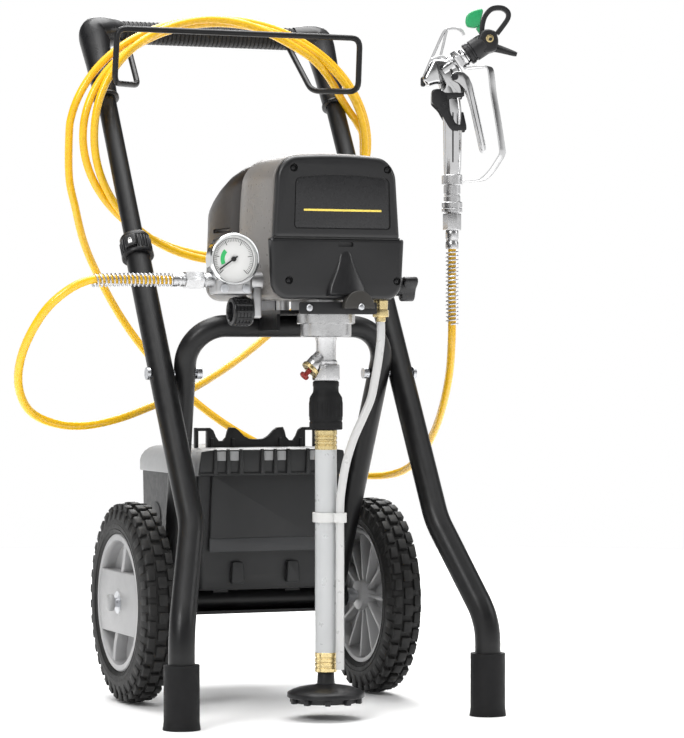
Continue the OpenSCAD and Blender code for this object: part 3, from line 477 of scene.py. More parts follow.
def coil_points():
    out = []
    for angle in range(2, 899, 8):
        inside, y = eased(COIL_KEYS, angle)
        a = math.radians(angle)
        out.append((COIL_MIDDLE[0] + (COIL_REACH[0] - inside) * math.cos(a), y,
            COIL_MIDDLE[1] + (COIL_REACH[1] - inside * 0.8) * math.sin(a)))
    return out


hose_line = smooth_path(PUMP_LEAD[:-1] + coil_points() + GUN_LEAD[1:], 4)
bm = bmesh.new()
sweep(bm, hose_line, HOSE_R, 20)
hose = piece("hose", bm, None, HOSE, ("hose_pump_lead", "hose_coil", "hose_gun_lead"))
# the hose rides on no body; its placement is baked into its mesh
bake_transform(hose)


def spring_line(points, coil_r, pitch):
    """A helix round a line, as points."""
    fine = smooth_path(points, 40)
    out, travelled = [], 0.0
    for i, p in enumerate(fine[:-1]):
        step = fine[i + 1] - p
        t = step.normalized()
        u = (Vector((0, 1, 0)) if abs(t.y) < 0.9 else Vector((1, 0, 0)))
        u = (u - t * u.dot(t)).normalized()
        v = t.cross(u)
        parts = max(1, round(step.length / (pitch / 14)))
        for k in range(parts):
            at = travelled + step.length * k / parts
            a = 2 * math.pi * at / pitch
            out.append(p + step * k / parts + (u * math.cos(a) + v * math.sin(a)) * coil_r)
        travelled += step.length
    return out


for name, line in (
    ("hose_spring_pump", [(-199, -110, 540), (-235, -110, 540), (-270, -110, 539.5), (-300, -110, 538)]),
    ("hose_spring_gun", [(231, 30, 586), (231, 30, 550), (231, 30, 510), (231, 30, 489)]),
):
    bm = bmesh.new()
    sweep(bm, spring_line(line, 7.4, 5.2), 1.15, 8)
    piece(name, bm, "cart", STEEL)

GUN_PLACE = Matrix.Translation((231, 30, 0)) @ Matrix.Rotation(math.radians(-21), 4, "Z")
BARREL = GUN_PLACE @ Matrix.Translation((-14, 0, 818)) @ Matrix.Rotation(math.radians(56), 4, "Y")


def hex_outline(r, turn=0, x=0.0, y=0.0):
    return [around(r, 60 * i + turn, x, y) for i in range(6)]


def on_axis(base, direction):
    """Places a piece built along Z so that it starts at base and points along direction."""
    return Matrix.Translation(base) @ Vector(direction).to_track_quat("Z", "Y").to_matrix().to_4x4()


bm = bmesh.new()
prism(bm, hex_outline(11.5), 0, 23.6, 1.6, "xy")
nut_place = on_axis((-184, -110, 540), (1, 0, 0))
bmesh.ops.transform(bm, matrix=nut_place, verts=bm.verts)
lathe(bm, [(0, 0), (0, 7.4), (1, 8), (6, 8), (7, 7.2), (9, 7.2), (10, 8), (15.5, 8), (16, 7.4), (16, 0)],
    (-184, -110, 540), (-1, 0, 0), 40)
nut = piece("hose_nut_pump", bm, "cart", SILVER)
bm = bmesh.new()
prism(bm, hex_outline(12), 612, 634, 1.6, "xy")
lathe(bm, [(587.6, 0), (587.6, 7.8), (589, 8.5), (596, 8.5), (597.4, 7.6), (600, 7.6), (601.4, 8.5),
    (611, 8.5),
    (612.4, 7.6), (612.4, 0)], HERE, UP, 40)
ferrule = piece("hose_nut_gun", bm, "cart", SILVER, ("hose_fittings",), GUN_PLACE)

# ---- handle ----


def lean(z, side):
    return Vector((side * 163.3, -77 + (z - 241) * 0.6445, z))


GRIP_Z = 887
GRIP_Y = lean(GRIP_Z, 1).y
LEAN = Vector((0, 0.6445, 1)).normalized()

for side, word in SIDES:
    knee = lean(GRIP_Z, side)
    mould = [lean(790, side), lean(794, side), lean(815, side), lean(840, side), lean(862, side),
        lean(877, side) + Vector((-side * 1, 0, 0)), knee + Vector((-side * 5, -2, -3)),
        knee + Vector((-side * 16, -1, -1)), knee + Vector((-side * 28, 0, 0)), knee + Vector((-side * 36,
        0, 0)),
        knee + Vector((-side * 38.2, 0, 0))]
    girth = [13.4, 15.6, 16.6, 17.8, 19.6, 21.4, 22.8, 21.8, 19.2, 17.4, 16.2]
    line, sizes = smooth_path(mould, 5), []
    for i in range(len(girth) - 1):
        sizes += [girth[i] + (girth[i + 1] - girth[i]) * k / 5 for k in range(5)]
    sizes.append(girth[-1])
    bm = bmesh.new()
    sweep(bm, line, sizes, 36)
    lathe(bm, [(0, 12.5), (0, 16.6), (1, 17.4), (4, 17.4), (5, 16.6), (5, 12.5)], lean(789, side), LEAN, 40)
    piece("handle_corner_" + word, bm, "handle", SATIN, ("handle_corners",), sharp=60)

bm = bmesh.new()
ribs = [(-127, 0), (-127, 15.4)]
for i in range(42):
    x = -126 + i * 6
    ribs += [(x, 15.4), (x + 3.4, 15.5), (x + 3.9, 15.1), (x + 4.3, 14.3), (x + 5.4, 14.3), (x + 5.8, 15.1)]
ribs += [(127, 15.4), (127, 0)]
lathe(bm, ribs, (0, GRIP_Y, GRIP_Z), (1, 0, 0), 40)
piece("grip", bm, "handle", GRIP, ("hand_grip",), sharp=50)

HANGER_BEND = 13
HANGER = [(117, GRIP_Y - 4, GRIP_Z - 10), (124, 262, 809), (172, 212, 806), (171, 203, 877)]
bm = bmesh.new()
wire = [Vector(p) for p in HANGER] + [Vector((-x, y, z)) for x, y, z in reversed(HANGER)]
bend = []
for i, p in enumerate(wire):
    if i in (0, len(wire) - 1):
        bend.append(p)
        continue
    a, b = (wire[i - 1] - p).normalized(), (wire[i + 1] - p).normalized()
    bend += [p + (a * (1 - t) ** 2 + b * t * t) * HANGER_BEND for t in (0, 0.2, 0.4, 0.6, 0.8, 1)]
sweep(bm, bend, 4, 16)
piece("hanger_wire", bm, "handle", POWDER, ("hose_hanger",))

for side, word in SIDES:
    bm = bmesh.new()
    lathe(bm, [(0, 12.6), (0, 20.4), (0.8, 21), (4.2, 21), (5, 20.3), (5.6, 19), (25, 18.6), (26, 19.4),
        (29.5, 19.4), (32, 18), (34, 15.6), (34, 12.6)], HERE, UP, 56, closed=True)
    for k in range(26):
        a = 2 * math.pi * k / 26
        ridge = [Vector((18.4 * math.cos(a), 18.4 * math.sin(a), 5.4)),
            Vector((19.5 * math.cos(a), 19.5 * math.sin(a), 8)),
            Vector((19.5 * math.cos(a), 19.5 * math.sin(a), 23)), Vector((18.4 * math.cos(a),
            18.4 * math.sin(a), 25.8))]
        sweep(bm, ridge, [0.6, 1.35, 1.35, 0.6], 8)
    tab = bmesh.new()
    rbox(tab, (17.5, -8, 6.6), (25, 8, 24), 2.2)
    turn = Matrix.Rotation(math.radians(-125), 4, "Z")
    add_mesh(bm, tab, turn)
    seat = Matrix.Translation(lean(574.4, side)) @ LEAN.rotation_difference(Vector((0, 0,
        1))).inverted().to_matrix().to_4x4()
    piece("collar_knob_" + word, bm, "collar_" + word, BLACK, ("collar_" + word,), seat)
    bm = bmesh.new()
    rbox(bm, (24.7, -2.6, 10), (25.3, 2.6, 15), 0.25, 2)
    for k in range(8):
        a, b = math.pi * k / 8, math.pi * (k + 1) / 8
        arc = [Vector((25, 1.7 * math.cos(t), 15 + 2.4 * math.sin(t))) for t in (a, b)]
        sweep(bm, arc, 0.45, 6)
    piece("collar_mark_" + word, bm, "collar_" + word, MARK, (), seat @ turn)

# ---- wheels ----

for side, word in SIDES:
    hub = Matrix.Translation((side * 167, 150, 130)) @ Vector((side, 0, 0)).to_track_quat("Z",
        "Y").to_matrix().to_4x4()
    bm = bmesh.new()
    lathe(bm, [(-18, 89), (-21, 91), (-23, 97), (-22.6, 106), (-21, 113), (-18, 119), (-12, 123.2),
        (0, 124.6),
        (12, 123.2), (18, 119), (21, 113), (22.6, 106), (23, 97), (21, 91), (18,
        89)], HERE, UP, 144, closed=True)
    for k in range(36):
        for lane, (h0, h1) in enumerate(((-17.5, -8.4), (-5.6, 5.6), (8.4, 17.5))):
            block = bmesh.new()
            rbox(block, (118 if lane != 1 else 121, -7.2, h0), (129.3 if lane == 1 else 127.2, 7.2, h1),
                1.1, 2)
            a = 2 * math.pi * (k + (0.5 if lane == 1 else 0)) / 36
            add_mesh(bm, block, Matrix.Rotation(a, 4, "Z"))
        for edge in (-1, 1):
            lug = bmesh.new()
            rbox(lug, (107, -5.2, edge * 20.4 - 1.6), (119.5, 5.2, edge * 20.4 + 1.6), 1.0, 2)
            a = 2 * math.pi * (k + 0.5) / 36
            lean_in = Matrix.Translation((113, 0, edge * 20.4)) @ Matrix.Rotation(edge * 0.16, 4,
                "Y") @ Matrix.Translation((-113, 0, -edge * 20.4))
            add_mesh(bm, lug, Matrix.Rotation(a, 4, "Z") @ lean_in)
    for r in (94.5, 101):
        for edge in (-1, 1):
            ring = [(edge * 22.4 + h, r + d) for h, d in ((0, -0.9), (0.75, 0), (0, 0.9), (-1.2, 0))]
            lathe(bm, ring, HERE, UP, 144, closed=True)
    piece("tyre_tread_" + word, bm, "wheel_" + word, TYRE, ("tyre_" + word,), hub)

    bm = bmesh.new()
    lathe(bm, [(-19, 83.5), (-19.6, 85.5), (-19, 89), (19, 89), (20.4, 87.6), (20.4, 81), (19, 79.8),
        (12, 79), (4, 78.6),
        (2, 77), (-2, 77), (-3, 79), (-15, 82.5)], HERE, UP, 120, closed=True)
    lathe(bm, [(-2, 6.2), (-2, 80), (3, 80), (3, 6.2)], HERE, UP, 120, closed=True)
    lathe(bm, [(-22, 6.2), (-22, 17), (-20.5, 19), (-2, 20.5), (3, 21), (18.5, 20), (20.6, 18), (20.6, 13),
        (17, 11.8),
        (17, 6.2)], HERE, UP, 72, closed=True)
    for k in range(12):
        rib = bmesh.new()
        made = bmesh.ops.create_cube(rib, size=1.0)["verts"]
        for v in made:
            far, thick, deep = v.co.x > 0, v.co.y * 4.4, v.co.z < 0
            v.co = Vector((81.5 if far else 17, thick, (-17 if far else -13) if deep else -1))
        bmesh.ops.bevel(rib, geom=list(rib.edges), offset=0.9, segments=2, profile=0.5, affect="EDGES")
        add_mesh(bm, rib, Matrix.Rotation(2 * math.pi * k / 12, 4, "Z"))
    # the outer face: a broad flat band across the hub
    half, reach = 40.0, 80.0
    corner = math.asin(half / reach)
    band = [(reach * math.cos(a), reach * math.sin(a)) for a in [corner * (i / 9 - 1) for i in range(19)]]
    band += [(-x, -y) for x, y in band]
    prism(bm, rounded(band, 2.0), 2, 20.2, 1.6, "xy")
    for flip in (1, -1):
        spoke = []
        for i in range(9):
            t = i / 8
            spoke.append((flip * (10 + 14 * math.sin(t * 1.5)), flip * (half - 3 + (reach - half + 1) * t)))
        wide = 5.2
        outline = [(x - wide, y) for x, y in spoke] + [(x + wide, y) for x, y in reversed(spoke)]
        prism(bm, outline, 2, 18.4, 1.4, "xy")
    piece("rim_face_" + word, bm, "wheel_" + word, RIM, ("rim_" + word,), hub)
    bm = bmesh.new()
    lathe(bm, [(19.6, 6), (19.6, 14.5), (20.9, 14.5), (20.9, 6)], HERE, UP, 48, closed=True)
    piece("rim_washer_" + word, bm, "wheel_" + word, STEEL, (), hub)

bm = bmesh.new()
for side in (-1, 1):
    lathe(bm, [(194, 6), (194, 10.6), (195, 11.2), (199, 11), (201, 9.6), (202, 6.5), (202.1, 0)],
        (0, 150, 130), (side, 0, 0), 40)
piece("axle_caps", bm, "cart", LID, ("wheel_caps",))

# ---- motor housing ----


def loft_y(bm, slices):
    """Skins rounded rectangles (y, x0, x1, z0, z1, r) one behind the other."""
    skin(bm, [[(x, y, z) for x, z in rrect(x0, x1, z0, z1, r, 8)] for y, x0, x1, z0, z1, r in slices])


def shield(x0, x1, z0, z1, top, low, lean=0.0, rise=0.0):
    """A rectangle with its own radii above and below, narrower and arched at the top."""
    corners = ((x1 - top, z1 - top, top, 0), (x0 + top, z1 - top, top, 90), (x0 + low, z0 + low, low, 180),
        (x1 - low, z0 + low, low, 270))
    arcs = [[around(r, start + 9 * k, cx, cz) for k in range(11)] for cx, cz, r, start in corners]
    out = []
    for i, arc in enumerate(arcs):
        (ax, az), (cx, cz) = arc[-1], arcs[(i + 1) % 4][0]
        out += arc + [(ax + (cx - ax) * k / 10, az + (cz - az) * k / 10) for k in range(1, 10)]
    middle, half = (x0 + x1) / 2, (x1 - x0) / 2
    warped = []
    for x, z in out:
        t = (z - z0) / (z1 - z0)
        u = (x - middle) / half
        warped.append((middle + (x - middle) * (1 - lean * t), z + rise * t * (1 - u * u)))
    return warped


def shields(bm, slices, bow=(), **shape):
    """Skins shields (y, x0, x1, z0, z1, top radius, lower radius); bow gives each one's bulge to the back."""
    rings = []
    for i, (y, x0, x1, z0, z1, top, low) in enumerate(slices):
        back = bow[i] if bow else 0
        rings.append([(x, y + back * (1 - ((z - 612) / 92) ** 2), z) for x,
            z in shield(x0, x1, z0, z1, top, low, **shape)])
    skin(bm, rings)


bm = bmesh.new()
shields(bm, [(-44.4, -83.6, 83.6, 519, 689, 28, 16), (-45, -85.2, 85.2, 517.4, 690.6, 29, 17),
    (-47, -85.8, 85.8, 517, 691, 30, 18),
    (-70, -87.6, 87.6, 516.6, 692, 30, 18), (-100, -87.6, 87.6, 516.6, 692, 30, 18), (-134, -85.4, 85.4,
    517, 691, 30, 18),
    (-139, -84, 84, 518, 690, 29, 17), (-140, -82.6, 82.6, 519.4, 688.6, 28, 16)],
    (20, 20, 20, 12, 5, 0, 0, 0), lean=0.05, rise=5)
piece("housing_shell", bm, "cart", SHELL, ("motor_shell",))
bm = bmesh.new()
shields(bm, [(-43.9, -82.6, 82.6, 520, 687.4, 28, 16), (-43, -84.4, 84.4, 518.4, 689, 29, 17),
    (-40, -86, 86, 518, 689.4, 30, 18),
    (-10, -88.6, 88.6, 518, 686, 30, 18), (20, -90.6, 90.6, 518, 680, 30, 18), (50, -91.4, 91.4, 518, 670,
    30, 18),
    (72, -91, 91, 518, 661, 30, 18), (86, -89.4, 89.4, 519, 654, 29, 18), (94, -86, 86, 522, 648, 28, 17),
    (97, -82, 82, 527, 643, 26, 15), (98, -75, 75, 534, 635, 22, 12)],
    (20, 20, 20, 12, 5, 2, 0, 0, 0, 0, 0), lean=0.05, rise=3)
rear = piece("rear_housing", bm, "cart", CAP, ("rear_cap",), sharp=60)
slots = []
for row_z in range(5):
    for side in (-1, 1):
        bm = bmesh.new()
        rbox(bm, (side * 91 - 7, 0, 552 + row_z * 13), (side * 91 + 7, 58, 557.5 + row_z * 13), 2.4)
        slots.append(bm)
for k in range(6):
    bm = bmesh.new()
    rbox(bm, (-22 + k * 13, 92, 585), (-16.5 + k * 13, 110, 625), 2.4)
    slots.append(bm)
bm = bmesh.new()
rbox(bm, (-61, 86, 548), (-39, 110, 578), 1.5)
slots.append(bm)
carve(rear, *slots)
# a near-black box inside the housing: painted shade seen through the vent slots
bm = bmesh.new()
loft_y(bm, [(-30, -78, 78, 522, 680, 26), (20, -80, 80, 522, 670, 26), (70, -80, 80, 523, 650, 26),
    (90, -76, 76, 530, 640, 24)])
piece("rear_housing_painted_shade", bm, "cart", PAINTED_SHADE, (), sharp=60)
bm = bmesh.new()
prism(bm, rounded([(-61, 548), (-39, 548), (-39, 578), (-61, 578)], 1.5), 88, 99.4, 0.8)
frame_piece = piece("switch_frame", bm, "cart", SATIN)
bm = bmesh.new()
rbox(bm, (-57, 90, 552), (-43, 110, 574), 0.6)
carve(frame_piece, bm)
bm = bmesh.new()
rocker = [(96, 559), (99.6, 554.6), (100.6, 554.4), (101.4, 556), (99.2, 563.4), (102.6, 571),
    (101.9, 572.2),
    (100.4, 572), (95.6, 567.6)]
prism(bm, rounded(rocker, 1.2), -56, -44, 0.7, "yz")
piece("switch_rocker", bm, "power_switch", RED, ("power_switch",))
bm = bmesh.new()
lathe(bm, [(0, 5.2), (0, 11.2), (0.8, 12), (3.6, 12), (4.2, 11.4), (4.2, 9), (8, 8.8), (9, 8.2), (10, 8.7),
    (12, 8.6),
    (13, 7.9), (14, 8.2), (16, 8), (17, 7.4), (18, 7.6), (19.6, 7), (20, 6.4), (20,
    4)], (42, 98, 560), (0, 1, 0), 48, closed=True)
piece("gland", bm, "cart", BLACK, ("cable_gland",))

bm = bmesh.new()
shields(bm, [(-140.3, -82.6, 82.6, 592.6, 689, 24, 3), (-141, -83, 83, 592.2, 689.6, 25, 3.4),
    (-145.6, -82.8, 82.8, 592.2, 689.4, 25, 3.4),
    (-148.4, -81.4, 81.4, 593, 688, 24, 3.2), (-149.6, -79.4, 79.4, 595, 686, 23, 3), (-150, -77, 77, 597.4,
    683.6, 22, 3)], lean=0.075, rise=4.6)
front = piece("front_panel_upper", bm, "cart", CHARCOAL, ("front_cover",))
bm = bmesh.new()
prism(bm, shield(-57, 70, 603, 666, 7, 5, 0.03, 4), -156, -148.0, 0.01)
holes = [bm]
for x in (-57, 66):
    bm = bmesh.new()
    lathe(bm, [(0, 0), (0, 4.9), (12, 5.2), (12, 0)], (x, -145.6, 677), (0, -1, 0), 32)
    holes.append(bm)
carve(front, *holes)
bm = bmesh.new()
prism(bm, shield(-55.6, 68.6, 604.4, 664.6, 6, 4, 0.03, 4), -149.1, -147.9, 0.5)
piece("name_panel", bm, "cart", PANEL)
bm = bmesh.new()
prism(bm, rrect(-44, 58, 624.8, 627.3, 0.8), -149.4, -148.9, 0.15)
piece("panel_line", bm, "cart", YELLOW_LINE)

bm = bmesh.new()
flipped = []
for y, x0, x1, z0, z1, top, low in ((-140.3, -87, 89, 517.6, 591.4, 20, 3),
    (-141, -87.6, 89.6, 517, 591.8, 21, 3.4),
        (-144.6, -87.4, 89.4, 517, 591.8, 21, 3.4), (-147.4, -86, 88, 518.4, 591, 20, 3.2), (-148.6, -84,
        86, 520.4, 589.6, 19, 3),
        (-149, -81.6, 83.6, 522.8, 587.4, 18, 3)):
    flipped.append([(x, y, z0 + z1 - z) for x, z in shield(x0, x1, z0, z1, top, low, 0.045, 0)])
skin(bm, flipped)
lower = piece("front_panel_lower", bm, "cart", CHARCOAL, ("lower_cover",))
bm = bmesh.new()
prism(bm, rrect(1, 21, 581.6, 587.6, 1.6), -156, -145, 0.01)
holes = [bm]
for x in (-63, 79):
    bm = bmesh.new()
    lathe(bm, [(0, 0), (0, 4.9), (12, 5.2), (12, 0)], (x, -145, 540), (0, -1, 0), 32)
    holes.append(bm)
carve(lower, *holes)
bm = bmesh.new()
side = [(25.4, 521), (25, 527), (22.6, 535), (18.4, 544), (14, 553), (10.6, 562), (8.6, 569), (7, 574),
    (4, 577.4), (0, 578.4)]
bell = [(11 + a, z) for a, z in side] + [(11 - a, z) for a, z in reversed(side[:-1])]
rings = []
for d, out in ((0, 0), (0.5, 0.45), (1.6, 0.8), (3.4, 1.0)):
    rings.append([(x, -147.6 - 1.4 * out - 8.6 * out * max(0, 578.4 - z) / 57.4, z) for x,
        z in inset(bell, d)])
skin(bm, rings)
piece("front_boss", bm, "cart", CHARCOAL, sharp=50)
# a near-black strip where the upper and lower covers meet: painted shade in the gap
bm = bmesh.new()
rbox(bm, (-82.6, -149.2, 590.8), (82.6, -141.6, 593.2), 0.4, 2)
piece("front_seam_shade", bm, "cart", PAINTED_SHADE)


def screw(bm, x, y, z, r=3.7):
    """A pan-head screw, its head towards the front."""
    lathe(bm, [(0, 0), (0, r), (0.9, r * 0.96), (1.7, r * 0.75), (2.1, r * 0.42), (2.15, 0)], (x, y, z),
        (0, -1, 0), 32)


bm = bmesh.new()
for x, y, z in ((-57, -145.7, 677), (66, -145.7, 677), (-63, -145.1, 540), (79, -145.1, 540)):
    screw(bm, x, y, z)
piece("panel_screws", bm, "cart", SCREW, ("cover_screws",))
# near-black crosses on the screw heads: painted shade standing in for the cross recesses
bm = bmesh.new()
for x, y, z in ((-57, -147.9, 677), (66, -147.9, 677), (-63, -147.3, 540), (79, -147.3, 540)):
    for w, h in ((2.2, 0.45), (0.45, 2.2)):
        rbox(bm, (x - w, y - 0.12, z - h), (x + w, y + 0.7, z + h), 0.1, 1)
piece("screw_recess_shade", bm, "cart", PAINTED_SHADE)

bm = bmesh.new()
prism(bm, rrect(-50, 52, 499, 514, 3), -150.4, -147.2, 0.8)
arch = [(25 + 20 * math.cos(math.radians(a)), 506 + 22 * math.sin(math.radians(a)))
    for a in range(0, 181, 10)]
piece("guard_strip", bm, "cart", BLACK, ("guard_plate",))
bm = bmesh.new()
prism(bm, arch, -160.5, -147.4, 1.6)
piece("guard_disc", bm, "cart", DISC)
bm = bmesh.new()
screw(bm, -37, -150.2, 506.5, 4.4)
screw(bm, 27, -160.2, 508, 4.2)
piece("guard_screws", bm, "cart", STEEL)

# ---- pump ----

bm = bmesh.new()
outline = []
for i in range(8):
    for r, s in ((29.5, 0.03), (29.5, 0.16), (35.4, 0.2), (36, 0.24), (36, 0.5), (36, 0.76), (35.4, 0.8),
        (29.5, 0.84), (29.5, 0.97)):
        a = 2 * math.pi * (i + s) / 8
        outline.append((r * math.cos(a), -110 + r * math.sin(a)))
prism(bm, outline, 474, 489, 1.4, "xy")
lathe(bm, [(471, 14), (471.6, 30), (472.6, 31.5), (487.4, 31.5), (487.6, 35), (488.6, 36), (499.6, 36),
    (501, 34.6), (501, 14)],
    PUMP, UP, 96, closed=True)
nut_body = piece("castle_nut", bm, "cart", SILVER, ("union_nut",))
bm = bmesh.new()
lathe(bm, [(460, 0), (460, 14.4), (510, 14.4), (510, 0)], PUMP, UP, 64)
carve(nut_body, bm)
bm = bmesh.new()
lathe(bm, [(501.2, 24), (501.2, 31.4), (502, 32), (506.4, 32), (507.2, 31), (507.2, 24)], PUMP, UP, 72,
    closed=True)
piece("pump_flange", bm, "cart", CAST)

bm = bmesh.new()
lathe(bm, [(437.6, 0), (437.6, 13.4), (438.4, 14), (441.4, 14), (442.2, 13.2), (443.4, 12.2), (466, 12.2),
    (467.4, 12.8),
    (471.4, 13.6), (471.4, 0)], PUMP, UP, 64)
port = on_axis(PORT, PORT_WAY)
side_port = bmesh.new()
lathe(side_port, [(2, 0), (2, 10), (14, 10), (15, 10.6), (25, 10.6), (26, 10), (26, 0)], HERE, UP, 48)
add_mesh(bm, side_port, port)
piece("inlet_casting", bm, "cart", SILVER, ("inlet_body",))
bm = bmesh.new()
prism(bm, rounded(hex_outline(19.4, 8, 0, -110), 1.2, steps=2), 418, 437.6, 1.8, "xy")
nut_piece = piece("hex_nut", bm, "cart", SILVER)
bm = bmesh.new()
lathe(bm, [(20, 0), (20, 12.6), (44, 12.6), (44, 0)], PORT, PORT_WAY, 48)
carve(nut_piece, bm)
bm = bmesh.new()
lathe(bm, [(26.1, 4.5), (26.1, 11.4), (26.8, 12), (30.4, 12), (31.1, 11.4), (31.1, 4.5)], PORT, PORT_WAY,
    48, closed=True)
piece("port_ring", bm, "cart", BRASS)
bm = bmesh.new()
lathe(bm, [(12, 0), (12, 3), (38, 3), (38, 5.4), (38.6, 6), (41.4, 6), (42.6, 5), (43, 3), (43, 0)], PORT,
    PORT_WAY, 40)
piece("inlet_button", bm, "inlet_pusher", DARK_RED, ("inlet_pusher",))

bm = bmesh.new()
lathe(bm, [(357.2, 0), (357.2, 19.4), (358.2, 20.5), (366, 20.5), (366.8, 19.8), (368.4, 19.8),
    (369.2, 20.5), (396, 20.3),
    (398.4, 19.2), (403, 16.2), (405, 15.8), (410, 15.6), (411, 16.2), (415.4, 16.2), (416.6, 15.6), (417.6,
    14), (417.6, 0)],
    PUMP, UP, 72)
for k in range(20):
    a = 2 * math.pi * k / 20
    rib = [Vector((20.1 * math.cos(a), -110 + 20.1 * math.sin(a), z)) for z in (372, 374, 390, 393)]
    sweep(bm, rib, [0.3, 0.9, 0.9, 0.3], 8)
piece("boot", bm, "cart", RUBBER, ("suction_boot",))

bm = bmesh.new()
for z in (332.2, 58.2):
    grooves = [(z, 8), (z, 13), (z + 0.8, 13.8)]
    for g in (5, 10.6, 16.2):
        grooves += [(z + g, 13.8), (z + g + 0.7, 13), (z + g + 1.9, 13), (z + g + 2.6, 13.8)]
    grooves += [(z + 24, 13.8), (z + 24.8, 13), (z + 24.8, 8)]
    lathe(bm, grooves, PUMP, UP, 64, closed=True)
lathe(bm, [(490, 0), (490, 5), (491, 6), (495.6, 6), (496, 7), (504.6, 7), (505.4, 8.4), (516, 9),
    (516.8, 8.4), (516.8, 0)],
    (63, -135, 0), (0, 0, 1), 40)
prism(bm, rounded(hex_outline(11, 0, 63, -135), 0.8, steps=2), 496, 505, 1.1, "xy")
piece("crimps", bm, "cart", BRASS, ("brass_fittings",))

bm = bmesh.new()
tube = [(82.4, 10.5), (82.4, 13.5), (332.6, 13.5), (332.6, 10.5)]
lathe(bm, tube, PUMP, UP, 56, closed=True)
piece("suction_tube", bm, "cart", CLEAR, ("suction_hose",), sharp=60)
bm = bmesh.new()
lathe(bm, [(78, 0), (78, 9.6), (336, 9.6), (336, 0)], PUMP, UP, 40)
piece("suction_tube_core", bm, "cart", TUBE)

RETURN = [(63, -135, 490.4), (63, -135, 470), (60, -135, 445), (55, -135, 418), (50, -134, 395),
    (40, -133, 372), (28, -131, 345), (19, -129, 315), (14, -127.5, 285), (12, -127, 260),
    (12, -127, 200), (12, -127, 130), (12, -127, 62)]
bm = bmesh.new()
sweep(bm, smooth_path(RETURN, 6), 5.2, 20)
piece("return_line", bm, "cart", TUBE, ("return_tube",))
bm = bmesh.new()
lathe(bm, [(243, 13.6), (243, 16), (243.6, 16.6), (254.4, 16.6), (255, 16), (255, 13.6)], PUMP, UP, 56,
    closed=True)
lathe(bm, [(243, 5.3), (243, 7.6), (243.6, 8.2), (254.4, 8.2), (255, 7.6), (255, 5.3)], (12, -127, 0),
    (0, 0, 1), 40, closed=True)
piece("hose_clip", bm, "cart", CLIP, ("tube_clip",))

bm = bmesh.new()
lathe(bm, [(27, 0), (27, 46.6), (28, 48), (32, 48), (33.6, 47.2), (36.4, 42), (39, 34), (41, 24),
    (42.4, 14), (44, 11), (57, 10.2), (58.2, 9.6), (58.2, 0)],
    PUMP, UP, 96)
lathe(bm, [(21, 36), (21, 39.4), (27.5, 39.4), (27.5, 36)], PUMP, UP, 72, closed=True)
for k in range(10):
    tooth = bmesh.new()
    rbox(tooth, (38.4, -3.4, 20), (45.4, 3.4, 28), 1.0, 2)
    add_mesh(bm, tooth, Matrix.Translation((0, -110, 0)) @ Matrix.Rotation(2 * math.pi * k / 10, 4, "Z"))
piece("strainer_foot", bm, "cart", BLACK, ("strainer_disc",))

# ---- outlet side: manifold, gauge and knobs ----

bm = bmesh.new()
rbox(bm, (-148, -126, 522), (-101, -94, 559), 5, 4)
lathe(bm, [(0, 0), (0, 10.2), (1, 11), (22, 11), (24, 9.4), (50, 9.4), (50, 0)], (-104, -110, 540),
    (1, 0, 0), 48)
lathe(bm, [(0, 0), (0, 9), (11, 9), (12, 8.2), (14, 8.2), (14, 0)], (-146, -110, 540), (-1, 0, 0), 48)
lathe(bm, [(0, 0), (0, 9), (20, 9), (20, 0)], (-133, -108, 565), (0, -1, 0), 40)
lathe(bm, [(0, 0), (0, 13), (2, 14), (16, 14), (18, 12), (18, 0)], (-133, -110, 551), (0, 0, 1), 48)
rbox(bm, (-98, -118, 494), (-86.4, -102, 534), 3, 3)
lathe(bm, [(0, 0), (0, 5), (16, 5), (16, 0)], (-96, -110, 502), (-1, 0, 0), 32)
piece("manifold_block", bm, "cart", CAST, ("outlet_manifold",))
bm = bmesh.new()
PLUG_R = 9.6 * 0.62
for x, y in ((-138, -127.5), (-110, -127.5)):
    prism(bm, hex_outline(PLUG_R, 12, x, 530), y, y + 4, 0.8)
piece("manifold_plugs", bm, "cart", STEEL)

GAUGE = (-133, -123, 565)
gy = GAUGE[1]
bm = bmesh.new()
lathe(bm, [(4.4, 0), (4.4, 28.8), (5.4, 30), (20, 30), (21, 31.2), (26.6, 31.5), (28, 31), (28.4, 30.4),
    (27.6, 28.9), (25, 28.6), (8.6, 28.5), (8.6, 0)],
    GAUGE, (0, -1, 0), 96)
piece("gauge_bezel", bm, "cart", CHROME, ("gauge_case",))
bm = bmesh.new()
lathe(bm, [(8.6, 0), (8.6, 28.3), (21.1, 28.3), (21.2, 0)], GAUGE, (0, -1, 0), 72)
piece("gauge_dial", bm, "cart", DIAL)
front_y = gy - 21.35
bm = bmesh.new()
for k in range(51):
    a = math.radians(225 - 270 * k / 50)
    long = k % 10 == 0
    near, far, wide = (18.5 if long else 21.2), 24.4, (0.42 if long else 0.2)
    ux, uz = math.cos(a), math.sin(a)
    corners = [(near, -wide), (far, -wide), (far, wide), (near, wide)]
    flat = [(GAUGE[0] + r * ux - s * uz, r * uz + s * ux + GAUGE[2]) for r, s in corners]
    skin(bm, [[(x, front_y + 0.1, z) for x, z in flat], [(x, front_y - 0.06, z) for x, z in flat]])
arc = [around(r, t, GAUGE[0], GAUGE[2]) for r, ts in ((25.6, range(225, -46, -6)),
    (25.0, range(-45, 226, 6))) for t in ts]
skin(bm, [[(x, front_y + 0.1, z) for x, z in arc], [(x, front_y - 0.05, z) for x, z in arc]])
piece("gauge_ticks", bm, "cart", INK)
bm = bmesh.new()
arc = [around(r, t, GAUGE[0], GAUGE[2]) for r, ts in ((16.6, range(205, 134, -5)),
    (11.4, range(135, 206, 5))) for t in ts]
skin(bm, [[(x, front_y + 0.1, z) for x, z in arc], [(x, front_y - 0.05, z) for x, z in arc]])
piece("gauge_zone", bm, "cart", ZONE)

